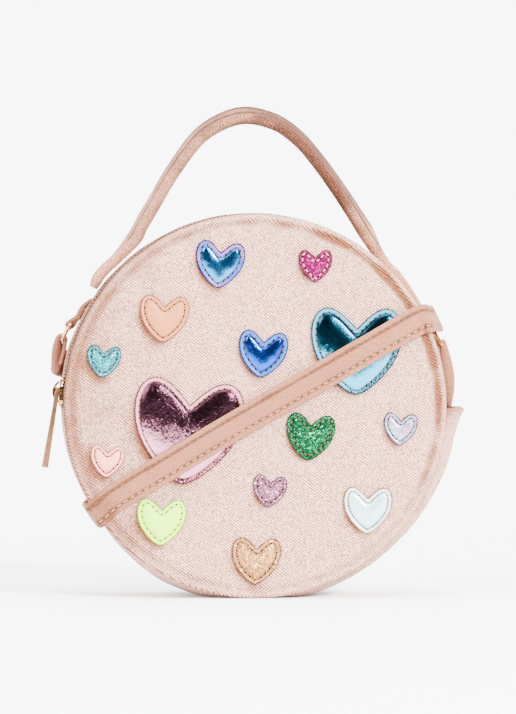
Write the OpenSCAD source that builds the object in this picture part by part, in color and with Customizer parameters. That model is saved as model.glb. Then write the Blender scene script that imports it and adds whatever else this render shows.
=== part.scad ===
// A round velvet shoulder bag: padded hearts on the front, a zip over the top half of the rim,
// a carry handle and a long strap wound round it. +X is right, +Y is back, +Z is up, and the
// origin is on the floor, at the middle of the flat that the bag rests on.

/* [Bag] */
// Diameter of the round front and back panels
panel_d = 173; // [150:1:200]
// Depth from the front face to the back face
bag_depth = 50; // [46:1:60]
// Thickness of a padded velvet panel
panel_t = 3.5; // [3:0.1:4.5]
// Thickness of the stiff board behind a panel
board_t = 1.2; // [0.8:0.1:1.6]
// Thickness of the lining cloth
lining_t = 0.6; // [0.4:0.1:0.9]
// Thickness of the velvet gusset at its edges
gusset_t = 2.6; // [2.2:0.1:3]
// How far the lower gusset swells past the panels
low_swell = 3.7; // [3:0.1:4.5]
// How far the strip behind the zip swells past the panels
top_swell = 1.7; // [1:0.1:2]

/* [Zip] */
// Angle at which the zip starts on the right, from level
zip_right_a = -1; // [-4:1:2]
// Angle at which the zip ends on the left
zip_left_a = 180.5; // [179:0.5:184]
// Distance from the front panel to the middle of the chain
zip_front_w = 7.5; // [7:0.1:8]
// Width of the tape that shows behind the chain
zip_rear_w = 7; // [6.5:0.1:8]
// Thickness of the woven tape
tape_t = 0.6; // [0.4:0.1:0.7]
// Distance between two teeth on one tape
tooth_pitch = 1.8; // [1.8:0.1:2.4]
// Thickness of a tooth along the zip
tooth_w = 0.8; // [0.6:0.05:0.85]
// Height of a tooth, across the tape's two faces
tooth_h = 2.2; // [1.8:0.1:2.4]
// How far a tooth reaches past the middle of the chain
tooth_reach = 0.7; // [0.5:0.1:0.9]
// Length of a tooth from the middle of the chain to its tail
tooth_tail = 2.4; // [2.2:0.1:2.6]

/* [Slider] */
// Angle at which the closed slider sits
slider_a = 175.7; // [172:0.1:176]
// Length of the slider along the zip
slider_l = 12.6; // [12:0.1:14]
// Width of the slider at its shoulders
slider_w = 9.6; // [9.4:0.1:10]
// Width of the slider at its tail
slider_tail_w = 7.2; // [7:0.1:7.6]
// Thickness of the slider's plates
plate_t = 1; // [0.8:0.1:1.2]
// Width of the bridge that carries the pull
bridge_w = 2.2; // [1.8:0.1:2.4]
// Height of the bridge over the plate
bridge_h = 3; // [2.8:0.1:3.4]
// Length of the bridge along the zip
bridge_l = 10.6; // [10:0.1:11]
// Length of the pull from its pin to its end
pull_l = 35.5; // [28:0.5:38]
// Width of the pull
pull_w = 5.5; // [5:0.1:6.5]
// Thickness of the pull at its end
pull_t = 2.3; // [1.6:0.1:2.4]

/* [Handle] */
// Width of the handle strip
handle_w = 12.5; // [10:0.5:14]
// Thickness of the handle strip
handle_t = 4.5; // [3.5:0.1:5]
// Distance from the bag's mid plane back to the handle's sewn ends
handle_back = 10; // [9:0.5:12]
// How far the arch leans forward, in degrees
handle_lean = 23; // [0:1:30]
// Height of the line that the arch swings about, above the bag's axis
handle_pivot_h = 85.2; // [83:0.1:88]
// Half the distance between the arch's legs at that line
handle_reach = 49.1; // [46:0.1:52]
// Rise of the arch over that line, along the arch's plane
handle_rise = 48.3; // [35:0.1:60]
// Thickness of the handle's ends where they are sewn flat
handle_tab_t = 3.4; // [2.6:0.1:3.4]

/* [Strap] */
// Width of the shoulder strap
strap_w = 13; // [10:0.1:13.4]
// Thickness of the shoulder strap
strap_t = 1.8; // [1.2:0.1:2]
// Diameter of the wire of a strap ring
ring_wire_d = 1.6; // [1.2:0.1:1.8]
// Distance between the two long bars of a ring, centre to centre
ring_l = 8.2; // [7.8:0.1:9]
// Thickness of one layer of the tab that holds a ring
tab_t = 1.2; // [0.9:0.1:1.3]
// Length of the sewn part of that tab
tab_l = 10; // [8:0.5:10.5]

/* [Hearts] */
// Width of the large heart
heart_large_w = 49.5; // [40:0.5:52]
// Width of the second large heart
heart_wide_w = 41.4; // [35:0.5:44]
// Width of the middle hearts
heart_middle_w = 22.2; // [18:0.1:24]
// Width of the small hearts
heart_small_w = 15.3; // [12:0.1:17]
// Thickness of a heart's flat stitched border
heart_border_t = 0.6; // [0.4:0.1:0.8]
// Width of that border
heart_border_w = 2; // [1.5:0.1:2.4]
// How far a large heart is stuffed over its border
heart_puff = 2; // [1:0.1:2.4]

/* [Hidden] */
$fn = 96;
BAG_NODES = ["front_panel", "front_board", "front_lining", "back_panel", "back_board", "back_lining",
  "lower_gusset", "lower_gusset_lining", "top_gusset", "top_gusset_lining", "zip_tape_front",
  "zip_tape_rear", "zip_teeth_front", "zip_teeth_rear", "zip_stops", "zip_slider", "zip_pull",
  "carry_handle", "handle_tab_left", "handle_tab_right", "strap_tab_left", "strap_tab_right",
  "strap_ring_left", "strap_ring_right", "shoulder_strap"];
// Each heart's colour, width and stuffing, and the place of its middle as shares of the panel's radius
heart_place_shares = [
  ["heart_violet", "#7f83d6", heart_middle_w, 0.7, [-0.19, 0.736], -6],
  ["heart_magenta", "#c3178b", heart_small_w, 0.5, [0.31, 0.731], 0],
  ["heart_peach", "#eeb49b", heart_middle_w, 0.7, [-0.479, 0.455], -4],
  ["heart_teal", "#1f9aa3", heart_small_w, 0.5, [-0.793, 0.234], -6],
  ["heart_royal", "#1f4fb8", heart_middle_w, 0.7, [0.034, 0.271], -6],
  ["heart_aqua", "#5cc5d6", heart_wide_w, 1, [0.5255, 0.286], -1],
  ["heart_pink", "#e0569a", heart_large_w, 1, [-0.359, -0.133], -6],
  ["heart_green", "#2f9a55", heart_middle_w, 0.7, [0.281, -0.161], -6],
  ["heart_pearl", "#d8cfe6", heart_small_w, 0.5, [0.754, -0.12], -5],
  ["heart_blush", "#f0cdd0", heart_small_w, 0.5, [-0.775, -0.2835], -5],
  ["heart_lilac", "#b49ad6", heart_small_w, 0.5, [0.07, -0.442], -7],
  ["heart_white", "#f1eee6", heart_middle_w, 0.7, [0.583, -0.544], -2],
  ["heart_lime", "#d3df5a", heart_middle_w, 0.7, [-0.494, -0.601], -3],
  ["heart_gold", "#caa04a", heart_middle_w, 0.7, [0, -0.806], -3]
];

// Clearances: pieces that touch in one body, pieces that move, and the panels over the floor
seat_gap = 0.1;
run_gap = 0.3;
floor_gap = 0.1;
// Overrun of every cut past the piece that it cuts
overrun = 2;
// Width of a panel's rim beyond the gusset
rim_step = 0.2;

panel_r = panel_d / 2;
axis_h = panel_r + floor_gap;
gusset_half = bag_depth / 2 - panel_t;
edge_r = panel_r - rim_step;
swell_steps = 8;

// Radius of the gusset's outside at f in front of the bag's mid plane
function skin_r(f, swell) = edge_r + swell * (1 - pow(f / gusset_half, 2));
function arc_deg(length, r) = length / r * 180 / PI;
function polar(r, a, f) = [r * cos(a), r * sin(a), f];
function smooth(t) = let(c = max(0, min(1, t))) c * c * (3 - 2 * c);
function unit(v) = v / norm(v);

// A frame on the bag's axis: x right, y up, z to the front
module on_axis() {
  translate([0, 0, axis_h]) rotate([90, 0, 0]) children();
}

// A profile of radius and depth turned about the bag's axis from angle a0 to a1
module turned(a0, a1) {
  rotate([0, 0, a0]) rotate_extrude(angle = a1 - a0) children();
}

module band(r0, r1, f0, f1) {
  translate([r0, f0]) square([r1 - r0, f1 - f0]);
}

// A layer that follows the swell of the gusset, from one lift over it to another
module swollen_band(f0, f1, swell, lift0, lift1) {
  f = [for (i = [0:swell_steps]) f0 + (f1 - f0) * i / swell_steps];
  polygon(concat(
    [for (i = [0:swell_steps]) [skin_r(f[i], swell) + lift1, f[i]]],
    [for (i = [swell_steps:-1:0]) [skin_r(f[i], swell) + lift0, f[i]]]
  ));
}

// Panels, boards and linings
board_r = edge_r - gusset_t - lining_t - seat_gap;
board_f = gusset_half - seat_gap - board_t;
lining_f = board_f - seat_gap - lining_t;

module panel(side) {
  edge = panel_t / 2;
  color("#e3c3b4") on_axis() mirror([0, 0, side < 0 ? 1 : 0]) rotate_extrude() {
    translate([0, gusset_half]) square([panel_r - edge, panel_t]);
    translate([panel_r - edge, gusset_half + edge])
      intersection() {
        circle(edge);
        translate([-edge / 2, -edge]) square([2 * edge, 2 * edge]);
      }
  }
}

module disc(side, f, t) {
  on_axis() mirror([0, 0, side < 0 ? 1 : 0]) translate([0, 0, f]) cylinder(r = board_r, h = t);
}

module front_panel() {
  panel(1);
}

module back_panel() {
  panel(-1);
}

module front_board() {
  color("#b9a184") disc(1, board_f, board_t);
}

module back_board() {
  color("#b9a184") disc(-1, board_f, board_t);
}

module front_lining() {
  color("#efe2d8") disc(1, lining_f, lining_t);
}

module back_lining() {
  color("#efe2d8") disc(-1, lining_f, lining_t);
}

// Gussets: the lower one is pressed flat on the floor
gusset_in_r = edge_r - gusset_t;
top_gusset_f = gusset_half - zip_front_w - zip_rear_w;

// A padded wall: round inside, swollen outside
module swollen_wall(f0, f1, swell) {
  f = [for (i = [0:swell_steps]) f0 + (f1 - f0) * i / swell_steps];
  polygon(concat([for (i = f) [skin_r(i, swell), i]], [[gusset_in_r, f1], [gusset_in_r, f0]]));
}

module lower_gusset() {
  color("#dfbcab") difference() {
    on_axis() turned(zip_left_a, 360 + zip_right_a) swollen_wall(-gusset_half, gusset_half, low_swell);
    translate([-panel_d, -bag_depth, -panel_d]) cube([2 * panel_d, 2 * bag_depth, panel_d]);
  }
}

module lower_gusset_lining() {
  color("#efe2d8") on_axis() turned(zip_left_a, 360 + zip_right_a)
    band(gusset_in_r - seat_gap - lining_t, gusset_in_r - seat_gap, -lining_f, lining_f);
}

module top_gusset() {
  color("#dfbcab") on_axis() turned(zip_right_a, zip_left_a)
    swollen_wall(-gusset_half, top_gusset_f, top_swell);
}

module top_gusset_lining() {
  color("#efe2d8") on_axis() turned(zip_right_a, zip_left_a)
    band(gusset_in_r - seat_gap - lining_t, gusset_in_r - seat_gap, -lining_f, top_gusset_f);
}

// Zip: two tapes with interlocked teeth, which part round the slider's post
chain_f = gusset_half - zip_front_w;
zip_r = edge_r - tape_t / 2;
tape_grip = tooth_tail / 2;
post_w = 1.3;
post_l = 3.8;
split_max = tooth_reach + post_w / 2 + run_gap - seat_gap / 2;
split_start_a = slider_a - arc_deg(slider_l / 6, zip_r);
split_end_a = slider_a + arc_deg(slider_l / 3.6, zip_r);
split_mid_a = (split_start_a + split_end_a) / 2;
stop_w = 0.6;
stop_a = zip_left_a - arc_deg(stop_w, zip_r);
pitch_a = arc_deg(tooth_pitch, zip_r);
tooth_first_a = zip_right_a + 2 * pitch_a;

// How far each row stands off the middle of the chain at angle a
function row_split(a) = split_max * smooth((a - split_start_a) / (split_end_a - split_start_a));

// A tooth seen along the zip: a head past the middle, and two legs that grip the tape
module tooth_shape() {
  neck = tooth_tail / 4;
  tail_h = tooth_h / 2;
  head_h = tail_h * 2 / 3;
  slot = tape_t / 2 + seat_gap / 2;
  slot_end = tape_grip - seat_gap;
  polygon([
    [-head_h, -tooth_reach], [head_h, -tooth_reach], [tail_h, neck], [tail_h, tooth_tail],
    [slot, tooth_tail], [slot, slot_end], [-slot, slot_end], [-slot, tooth_tail],
    [-tail_h, tooth_tail], [-tail_h, neck]
  ]);
}

module tooth_at(a, side, width) {
  rotate([0, 0, a]) translate([zip_r, 0, chain_f]) mirror([0, 0, side < 0 ? 1 : 0])
    translate([0, 0, row_split(a)]) rotate([90, 0, 0]) translate([0, 0, -width / 2])
      linear_extrude(width) tooth_shape();
}

module zip_row(side) {
  shift = side < 0 ? pitch_a / 2 : 0;
  color("#c79a5b") on_axis()
    for (a = [tooth_first_a + shift:pitch_a:stop_a - pitch_a * 0.7]) tooth_at(a, side, tooth_w);
}

// A tape, cut back in two steps where the rows part
module tape(side) {
  outer_f = side > 0 ? gusset_half : top_gusset_f;
  inner_f = chain_f + side * tape_grip;
  past_a = zip_left_a + arc_deg(overrun, zip_r);
  color("#d9a97f") on_axis() difference() {
    turned(zip_right_a, zip_left_a)
      band(zip_r - tape_t / 2, zip_r + tape_t / 2, min(inner_f, outer_f), max(inner_f, outer_f));
    for (cut = [[split_start_a, split_max / 2], [split_mid_a, split_max]]) turned(cut[0], past_a) {
      cut_f = inner_f + side * cut[1];
      band(zip_r - overrun, zip_r + overrun, min(chain_f, cut_f), max(chain_f, cut_f));
    }
  }
}

module zip_tape_front() {
  tape(1);
}

module zip_tape_rear() {
  tape(-1);
}

module zip_teeth_front() {
  zip_row(1);
}

module zip_teeth_rear() {
  zip_row(-1);
}

module zip_stops() {
  color("#c79a5b") on_axis() {
    tooth_at(stop_a, 1, stop_w);
    tooth_at(stop_a, -1, stop_w);
    tooth_at(zip_right_a + pitch_a * 0.7, 1, tooth_pitch);
    tooth_at(zip_right_a + pitch_a * 0.7, -1, tooth_pitch);
  }
}

// Slider: two plates joined by the post, with side walls that leave a slot for the tapes
plate_in_r = zip_r + tooth_h / 2 + run_gap;
plate_out_r = plate_in_r + plate_t;
under_out_r = zip_r - tooth_h / 2 - run_gap;
under_in_r = under_out_r - plate_t;
wall_t = 0.6;
slider_reach_a = arc_deg(slider_l, zip_r);

// A flat outline pushed outwards from the bag's axis: u along the zip, v to the front
module radial_prism(r0, r1) {
  translate([r0, 0, 0]) rotate([90, 0, 90]) linear_extrude(r1 - r0) children();
}

module slider_outline(inset) {
  half = slider_l / 2;
  corner = plate_t;
  wide = slider_w / 2 - inset;
  narrow = slider_tail_w / 2 - inset;
  ends = inset > 0 ? overrun : 0;
  polygon([
    [-half - ends, -narrow + corner], [-half + corner, -narrow], [-half / 6, -wide],
    [half - corner, -wide], [half + ends, -wide + corner], [half + ends, wide - corner],
    [half - corner, wide], [-half / 6, wide], [-half + corner, narrow],
    [-half - ends, narrow - corner]
  ]);
}

module post_outline() {
  middle = slider_l * 0.28;
  polygon([[middle - post_l / 2, 0], [middle, -post_w / 2], [middle + post_l / 2, 0],
    [middle, post_w / 2]]);
}

module ring_block(r0, r1) {
  turned(-slider_reach_a, slider_reach_a) band(r0, r1, -slider_w, slider_w);
}

// The bridge is a bow of two arcs, whose shared centre lies under the plate
bridge_bar_t = 1;
bridge_out_r = (pow(bridge_l / 2, 2) + pow(bridge_h, 2)) / (2 * bridge_h);
bridge_in_r = bridge_out_r - bridge_bar_t;
bridge_centre_r = plate_out_r + bridge_h - bridge_out_r;

module bridge() {
  intersection() {
    translate([bridge_centre_r, 0, -bridge_w / 2]) difference() {
      cylinder(r = bridge_out_r, h = bridge_w);
      translate([0, 0, -overrun]) cylinder(r = bridge_in_r, h = bridge_w + 2 * overrun);
    }
    translate([plate_out_r - seat_gap, -slider_l, -slider_w])
      cube([2 * bridge_h, 2 * slider_l, 2 * slider_w]);
  }
}

// The slider's own frame: x outwards, y along the zip to its left end, z to the front
module on_slider() {
  on_axis() rotate([0, 0, slider_a]) translate([0, 0, chain_f]) children();
}

module zip_slider() {
  slot_r = tape_t / 2 + run_gap;
  color("#cf9f5e") on_slider() {
    difference() {
      intersection() {
        ring_block(under_in_r, plate_out_r);
        radial_prism(under_in_r - overrun, plate_out_r + overrun) slider_outline(0);
      }
      difference() {
        union() {
          intersection() {
            ring_block(under_out_r, plate_in_r);
            radial_prism(under_in_r, plate_out_r) slider_outline(wall_t);
          }
          ring_block(zip_r - slot_r, zip_r + slot_r);
        }
        radial_prism(under_in_r - overrun, plate_out_r + overrun) post_outline();
      }
    }
    bridge();
  }
}

// Pull: a pin under the bridge, two legs, and a bar that thickens towards its square end
pin_d = 1.1;
pin_r = plate_out_r + run_gap + pin_d / 2;
pin_u = -bridge_l / 10;
leg_w = 0.9;
loop_w = bridge_w + 2 * run_gap + 2 * leg_w;
bar_start = bridge_l / 2 + pin_d;
bar_corner = 0.5;
pull_tilt_deg = 5;

module pull_bar() {
  half_w = pull_w / 2;
  intersection() {
    translate([-pull_t / 2, 0, 0]) rotate([90, 0, 90]) linear_extrude(pull_t)
      polygon([[bar_start, -loop_w / 2], [pull_l / 2, -half_w], [pull_l - bar_corner, -half_w],
        [pull_l, bar_corner - half_w], [pull_l, half_w - bar_corner],
        [pull_l - bar_corner, half_w], [pull_l / 2, half_w], [bar_start, loop_w / 2]]);
    translate([0, 0, -pull_w]) linear_extrude(2 * pull_w)
      polygon([[-pin_d / 2, bar_start - overrun], [-pin_d / 2, bar_start], [-pull_t / 2, pull_l],
        [-pull_t / 2, pull_l + overrun], [pull_t / 2, pull_l + overrun], [pull_t / 2, pull_l],
        [pin_d / 2, bar_start], [pin_d / 2, bar_start - overrun]]);
  }
}

module zip_pull() {
  color("#d8a983") on_slider() translate([pin_r, pin_u, 0]) rotate([0, 0, -pull_tilt_deg]) {
    translate([0, 0, -loop_w / 2]) cylinder(d = pin_d, h = loop_w);
    for (side = [0, 1]) mirror([0, 0, side]) translate([0, 0, loop_w / 2 - leg_w]) {
      translate([-pin_d / 2, 0, 0]) cube([pin_d, bar_start + seat_gap, leg_w]);
      cylinder(d = pin_d, h = leg_w);
    }
    pull_bar();
  }
}

// Handle: the arch's middle line goes through these shares of its reach and rise
handle_line_shares = [[-1.12, -0.42], [-1.07, -0.22], [-1, 0], [-0.75, 0.47], [-0.487, 0.827], [-0.147, 1],
  [0.143, 0.95], [0.352, 0.793], [0.55, 0.564], [0.747, 0.262], [0.9, 0], [1.02, -0.2],
  [1.09, -0.34]];
line_steps = 4;

// A smooth curve through points p, with a few steps in each of its spans
function curve_at(p0, p1, p2, p3, t) =
  p1 + t / 2 * (p2 - p0) + t * t * (p0 - 2.5 * p1 + 2 * p2 - p3 / 2)
  + t * t * t * (1.5 * (p1 - p2) + (p3 - p0) / 2);
function curve(p, steps) = let(n = len(p) - 1) concat(
  [for (i = [0:n - 1], k = [0:steps - 1])
    curve_at(p[max(i - 1, 0)], p[i], p[i + 1], p[min(i + 2, n)], k / steps)],
  [p[n]]);
function along(p, i) = unit(p[min(i + 1, len(p) - 1)] - p[max(i - 1, 0)]);

handle_line = curve([for (s = handle_line_shares) [s[0] * handle_reach, s[1] * handle_rise]],
  line_steps);
// The arch leans about the line where its sewn ends begin to stand up
handle_foot_drop = handle_rise / 4;
handle_pivot_y = handle_back - handle_foot_drop * tan(handle_lean);

// A frame in the arch's plane: x right, y up the arch, z to the front
module on_handle() {
  translate([0, handle_pivot_y, axis_h + handle_pivot_h]) rotate([90 + handle_lean, 0, 0]) children();
}

module handle_strip() {
  n = len(handle_line) - 1;
  sides = [for (i = [0:n]) let(d = along(handle_line, i)) [-d[1], d[0]] * handle_t / 2];
  translate([0, 0, -handle_w / 2]) linear_extrude(handle_w) polygon(concat(
    [for (i = [0:n]) handle_line[i] + sides[i]],
    [for (i = [n:-1:0]) handle_line[i] - sides[i]]
  ));
}

// What swings: all above the pivot line, with a round end about it
module above_pivot(grow) {
  wide = 2 * handle_reach;
  rotate([90, 0, 90]) translate([0, 0, -wide]) linear_extrude(2 * wide) {
    translate([0, -handle_w / 2 - grow]) square([2 * handle_rise, handle_w + 2 * grow]);
    circle(handle_w / 2 + grow);
  }
}

module carry_handle() {
  color("#dba98c") on_handle() intersection() {
    handle_strip();
    above_pivot(0);
  }
}

// A strip's end sewn flat on the top strip of the gusset, from angle a0 to a round end at a1.
// The left and right ends start and stop at these angles from the line that halves the zip.
top_deg = 85;
handle_starts_deg = [36, 30];
handle_ends_deg = [58.6, 54.8];

module sewn_end(a0, a1, w, t) {
  way = sign(a1 - a0);
  round_a = a1 - way * arc_deg(w / 2, skin_r(handle_back, top_swell));
  wide = w / 2 + overrun;
  intersection() {
    turned(min(a0, a1), max(a0, a1))
      swollen_band(-handle_back - wide, -handle_back + wide, top_swell, seat_gap, seat_gap + t);
    rotate([0, 0, round_a]) translate([0, 0, -handle_back]) radial_prism(0, 2 * panel_r) {
      circle(d = w);
      translate([way > 0 ? -panel_r : 0, -w / 2]) square([panel_r, w]);
    }
  }
}

// A stub of the leg stands on the sewn end, up to the round gap at the pivot
module handle_tab(side) {
  place = side < 0 ? 0 : 1;
  color("#dba98c") difference() {
    union() {
      on_axis() sewn_end(top_deg - side * handle_starts_deg[place],
        top_deg - side * handle_ends_deg[place], handle_w, handle_tab_t);
      intersection() {
        on_handle() handle_strip();
        on_axis() turned(0, 180)
          swollen_band(-gusset_half, handle_back, top_swell, seat_gap, handle_w);
        translate([side > 0 ? 0 : -panel_d, -bag_depth, 0])
          cube([panel_d, 2 * bag_depth, axis_h + handle_pivot_h - handle_w / 4]);
      }
    }
    on_handle() above_pivot(run_gap);
  }
}

module handle_tab_left() {
  handle_tab(-1);
}

module handle_tab_right() {
  handle_tab(1);
}

// Strap tabs and rings: the ring's inner bar turns in the tab's loop
ring_bar_lift = seat_gap + tab_t + run_gap + ring_wire_d / 2;
ring_r = skin_r(handle_back - strap_w / 2, top_swell) + ring_bar_lift;
ring_w = strap_w + 2 * run_gap + ring_wire_d;
ring_corner = ring_wire_d;
ring_tilt_deg = 6;
loop_r = ring_wire_d / 2 + run_gap;
// Bare gusset between each sewn end of the handle and its ring's tab
bare_l = [9.5, 2.4];
left_ring_deg = top_deg + handle_ends_deg[0] + arc_deg(bare_l[0] + tab_l, ring_r);
right_ring_deg = top_deg - handle_ends_deg[1] - arc_deg(bare_l[1] + tab_l, ring_r);

module on_ring(side) {
  on_axis() mirror([side < 0 ? 1 : 0, 0, 0])
    rotate([0, 0, side < 0 ? 180 - left_ring_deg : right_ring_deg])
      translate([ring_r, 0, -handle_back]) children();
}

module strap_tab(side) {
  color("#dba98c") on_ring(side) difference() {
    union() {
      translate([0, 0, -strap_w / 2]) cylinder(r = loop_r + tab_t, h = strap_w);
      translate([-ring_r, 0, handle_back])
        turned(0, arc_deg(tab_l, ring_r)) swollen_band(-handle_back - strap_w / 2,
          -handle_back + strap_w / 2, top_swell, seat_gap, seat_gap + 2 * tab_t);
    }
    translate([0, 0, -strap_w]) cylinder(r = loop_r, h = 2 * strap_w);
  }
}

module strap_tab_left() {
  strap_tab(-1);
}

module strap_tab_right() {
  strap_tab(1);
}

// A ring of round wire: two long bars, two short ones and four bends
module strap_ring(side) {
  long = ring_w - 2 * ring_corner;
  short = ring_l - 2 * ring_corner;
  color("#d3a05c") on_ring(side) rotate([0, 0, ring_tilt_deg]) {
    for (end = [0, 1]) translate([0, -end * ring_l, -long / 2]) cylinder(d = ring_wire_d, h = long);
    for (end = [-1, 1]) translate([0, -ring_corner, end * ring_w / 2]) rotate([90, 0, 0])
      cylinder(d = ring_wire_d, h = short);
    for (end = [0, 1], flip = [0, 1])
      translate([0, -ring_l / 2, 0]) mirror([0, 0, flip]) mirror([0, end, 0])
        translate([0, ring_l / 2 - ring_corner, ring_w / 2 - ring_corner]) rotate([0, 90, 0])
          rotate([0, 0, 90]) rotate_extrude(angle = 90) translate([ring_corner, 0])
            circle(d = ring_wire_d);
  }
}

module strap_ring_left() {
  strap_ring(-1);
}

module strap_ring_right() {
  strap_ring(1);
}

// Strap: stations of the route, each with the way that its outer side faces
strap_steps = 3;
over_hearts = heart_border_t + heart_puff + run_gap;
on_skin = 2 * run_gap;
half_t = strap_t / 2;
// Radii of the strap's inner side where it crosses the right ring's tab, and over its own sewn ends
cross_r = ring_r + loop_r + tab_t + run_gap;
layer_r = skin_r(handle_back, top_swell) + on_skin + strap_t + 2 * run_gap;

function on_face(side, x_share, z_share, lift) =
  [[x_share * panel_r, z_share * panel_r, side * (bag_depth / 2 + lift + half_t)], [0, 0, side]];
function on_gusset(a, f, lift, swell) = [polar(skin_r(f, swell) + lift + half_t, a, f), polar(1, a, 0)];
function at_radius(r, a, f) = [polar(r + half_t, a, f), polar(1, a, 0)];
// On the rim between a face and the gusset the strap faces outwards at 45 degrees
function on_rim(side, a) =
  [polar(panel_r + half_t, a, side * (bag_depth / 2 + half_t)), polar(1, a, side)];

// The loop round a ring's outer bar, from its inner end to its outer layer
loop_slack = 0.7;
function ring_bar(a, way) = polar(ring_r, a, -handle_back)
  + way * ring_l * [sin(a + way * ring_tilt_deg), -cos(a + way * ring_tilt_deg), 0];
function bar_loop(a, way) = let(c = ring_bar(a, way), r = ring_wire_d / 2 + loop_slack + half_t)
  [for (k = [-90:45:90]) let(n = [cos(a) * sin(k) - way * sin(a) * cos(k),
    sin(a) * sin(k) + way * cos(a) * cos(k), 0]) [c + r * n, n]];

// Angles where the strap turns behind and where it crosses the rim, and the places of its runs as
// shares of the panel's radius
left_turn_deg = left_ring_deg + 11.6;
right_turn_deg = right_ring_deg - 23;
cross_gap = 1.5;
cross_right_deg = top_deg - handle_ends_deg[1] - arc_deg(strap_w / 2 + cross_gap, panel_r);
cross_left_deg = 213.9;
front_shares = [[0.86, 0.452, 0.1], [0.72, 0.376, 0.8], [0.45, 0.222, 1], [0.15, 0.05, 1],
  [-0.15, -0.121, 1], [-0.45, -0.302, 1], [-0.62, -0.402, 0.8], [-0.74, -0.479, 0.3], [-0.8, -0.53, 0]];
back_upper_shares = [[-0.9, 0.19], [-0.72, 0.15], [-0.45, 0.12], [-0.1, 0.13], [0.25, 0.2],
  [0.6, 0.315], [0.84, 0.412]];
back_lower_shares = [[-0.79, -0.54], [-0.6, -0.43], [-0.3, -0.3], [0, -0.2], [0.35, -0.11],
  [0.7, -0.05], [0.92, -0.02]];

// The turn from along the gusset to across it, over the rim, at angle a and way round the bag:
// the strap comes down by lift over reach degrees while it moves to the back
function turn_behind(a, way, reach, lift) = [
  at_radius(layer_r + lift, a + way * reach, -handle_back * 1.1),
  at_radius(layer_r + lift * 0.4, a + way * reach * 0.45, -handle_back * 1.35),
  at_radius(layer_r, a + way * reach * 0.1, -handle_back * 1.75),
  on_gusset(a, -gusset_half, 2 * on_skin, top_swell),
  on_rim(-1, a)
];

function inner_layer(a) =
  let(s = on_gusset(a, -handle_back, on_skin, top_swell)) [s[0], -s[1]];
function reversed(list) = [for (i = [len(list) - 1:-1:0]) list[i]];

strap_route = concat(
  [inner_layer(left_ring_deg + 12), inner_layer(left_ring_deg + 8)],
  bar_loop(left_ring_deg, -1),
  turn_behind(left_turn_deg, -1, 3.6, strap_t),
  [for (s = back_upper_shares) on_face(-1, s[0], s[1], run_gap)],
  [on_rim(-1, cross_right_deg + 0.5),
   on_gusset(cross_right_deg + 0.4, -gusset_half, 3 * on_skin, top_swell)],
  [for (f = [-handle_back - ring_w / 2, -handle_back, -handle_back + ring_w / 2])
    at_radius(cross_r, cross_right_deg, f)],
  [on_gusset(cross_right_deg + 0.4, gusset_half / 4, 5 * on_skin, top_swell),
   on_gusset(cross_right_deg + 1.2, chain_f, 2 * on_skin, top_swell),
   on_gusset(cross_right_deg + 1.8, gusset_half, 2 * on_skin, top_swell),
   on_rim(1, cross_right_deg + 2)],
  [for (s = front_shares) on_face(1, s[0], s[1], run_gap + s[2] * (over_hearts - run_gap))],
  [on_rim(1, cross_left_deg)],
  [for (f = [gusset_half, gusset_half / 2, 0, -gusset_half / 2, -gusset_half])
    on_gusset(cross_left_deg + (gusset_half - f) / bag_depth, f, on_skin, low_swell)],
  [on_rim(-1, cross_left_deg + 1)],
  [for (s = back_lower_shares) on_face(-1, s[0], s[1], run_gap)],
  reversed(turn_behind(right_turn_deg, 1, 6.5, strap_t)),
  [at_radius(layer_r + 1.3 * strap_t, right_turn_deg + 11, -handle_back)],
  reversed(bar_loop(right_ring_deg, 1)),
  [inner_layer(right_ring_deg - 8), inner_layer(right_ring_deg - 12)]
);

module shoulder_strap() {
  centres = curve([for (s = strap_route) s[0]], strap_steps);
  outwards = curve([for (s = strap_route) s[1]], strap_steps);
  last = len(centres) - 1;
  rings = [for (i = [0:last])
    let(across = unit(cross(along(centres, i), outwards[i])) * strap_w / 2,
        up = unit(cross(across, along(centres, i))) * half_t)
    [centres[i] + across + up, centres[i] - across + up, centres[i] - across - up,
     centres[i] + across - up]];
  points = [for (r = rings, p = r) p];
  faces = concat(
    [[0, 1, 2], [0, 2, 3]],
    [for (i = [0:last - 1], k = [0:3]) let(a = 4 * i + k, b = 4 * i + (k + 1) % 4) [a, a + 4, b]],
    [for (i = [0:last - 1], k = [0:3]) let(a = 4 * i + k, b = 4 * i + (k + 1) % 4)
      [b, a + 4, b + 4]],
    [[4 * last, 4 * last + 2, 4 * last + 1], [4 * last, 4 * last + 3, 4 * last + 2]]
  );
  color("#dba98c") on_axis() polyhedron(points, faces);
}

// Hearts: one outline, scaled, with a flat border and a stuffed middle
heart_points = 30;
heart_dome_shares = [[1, 0], [0.86, 0.5], [0.62, 0.84], [0.32, 0.98]];

// Outline of a heart one wide, about the middle of its width and height, with full sides
function heart_outline() = [for (i = [0:heart_points - 1]) let(t = 360 * i / heart_points)
  [sign(sin(t)) * pow(abs(sin(t)), cos(t) > 0 ? 1.85 : 1.22) / 2,
   (13 * cos(t) - 5 * cos(2 * t) - 2 * cos(3 * t) - cos(4 * t) + 2.5) / 30.6]];

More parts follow.
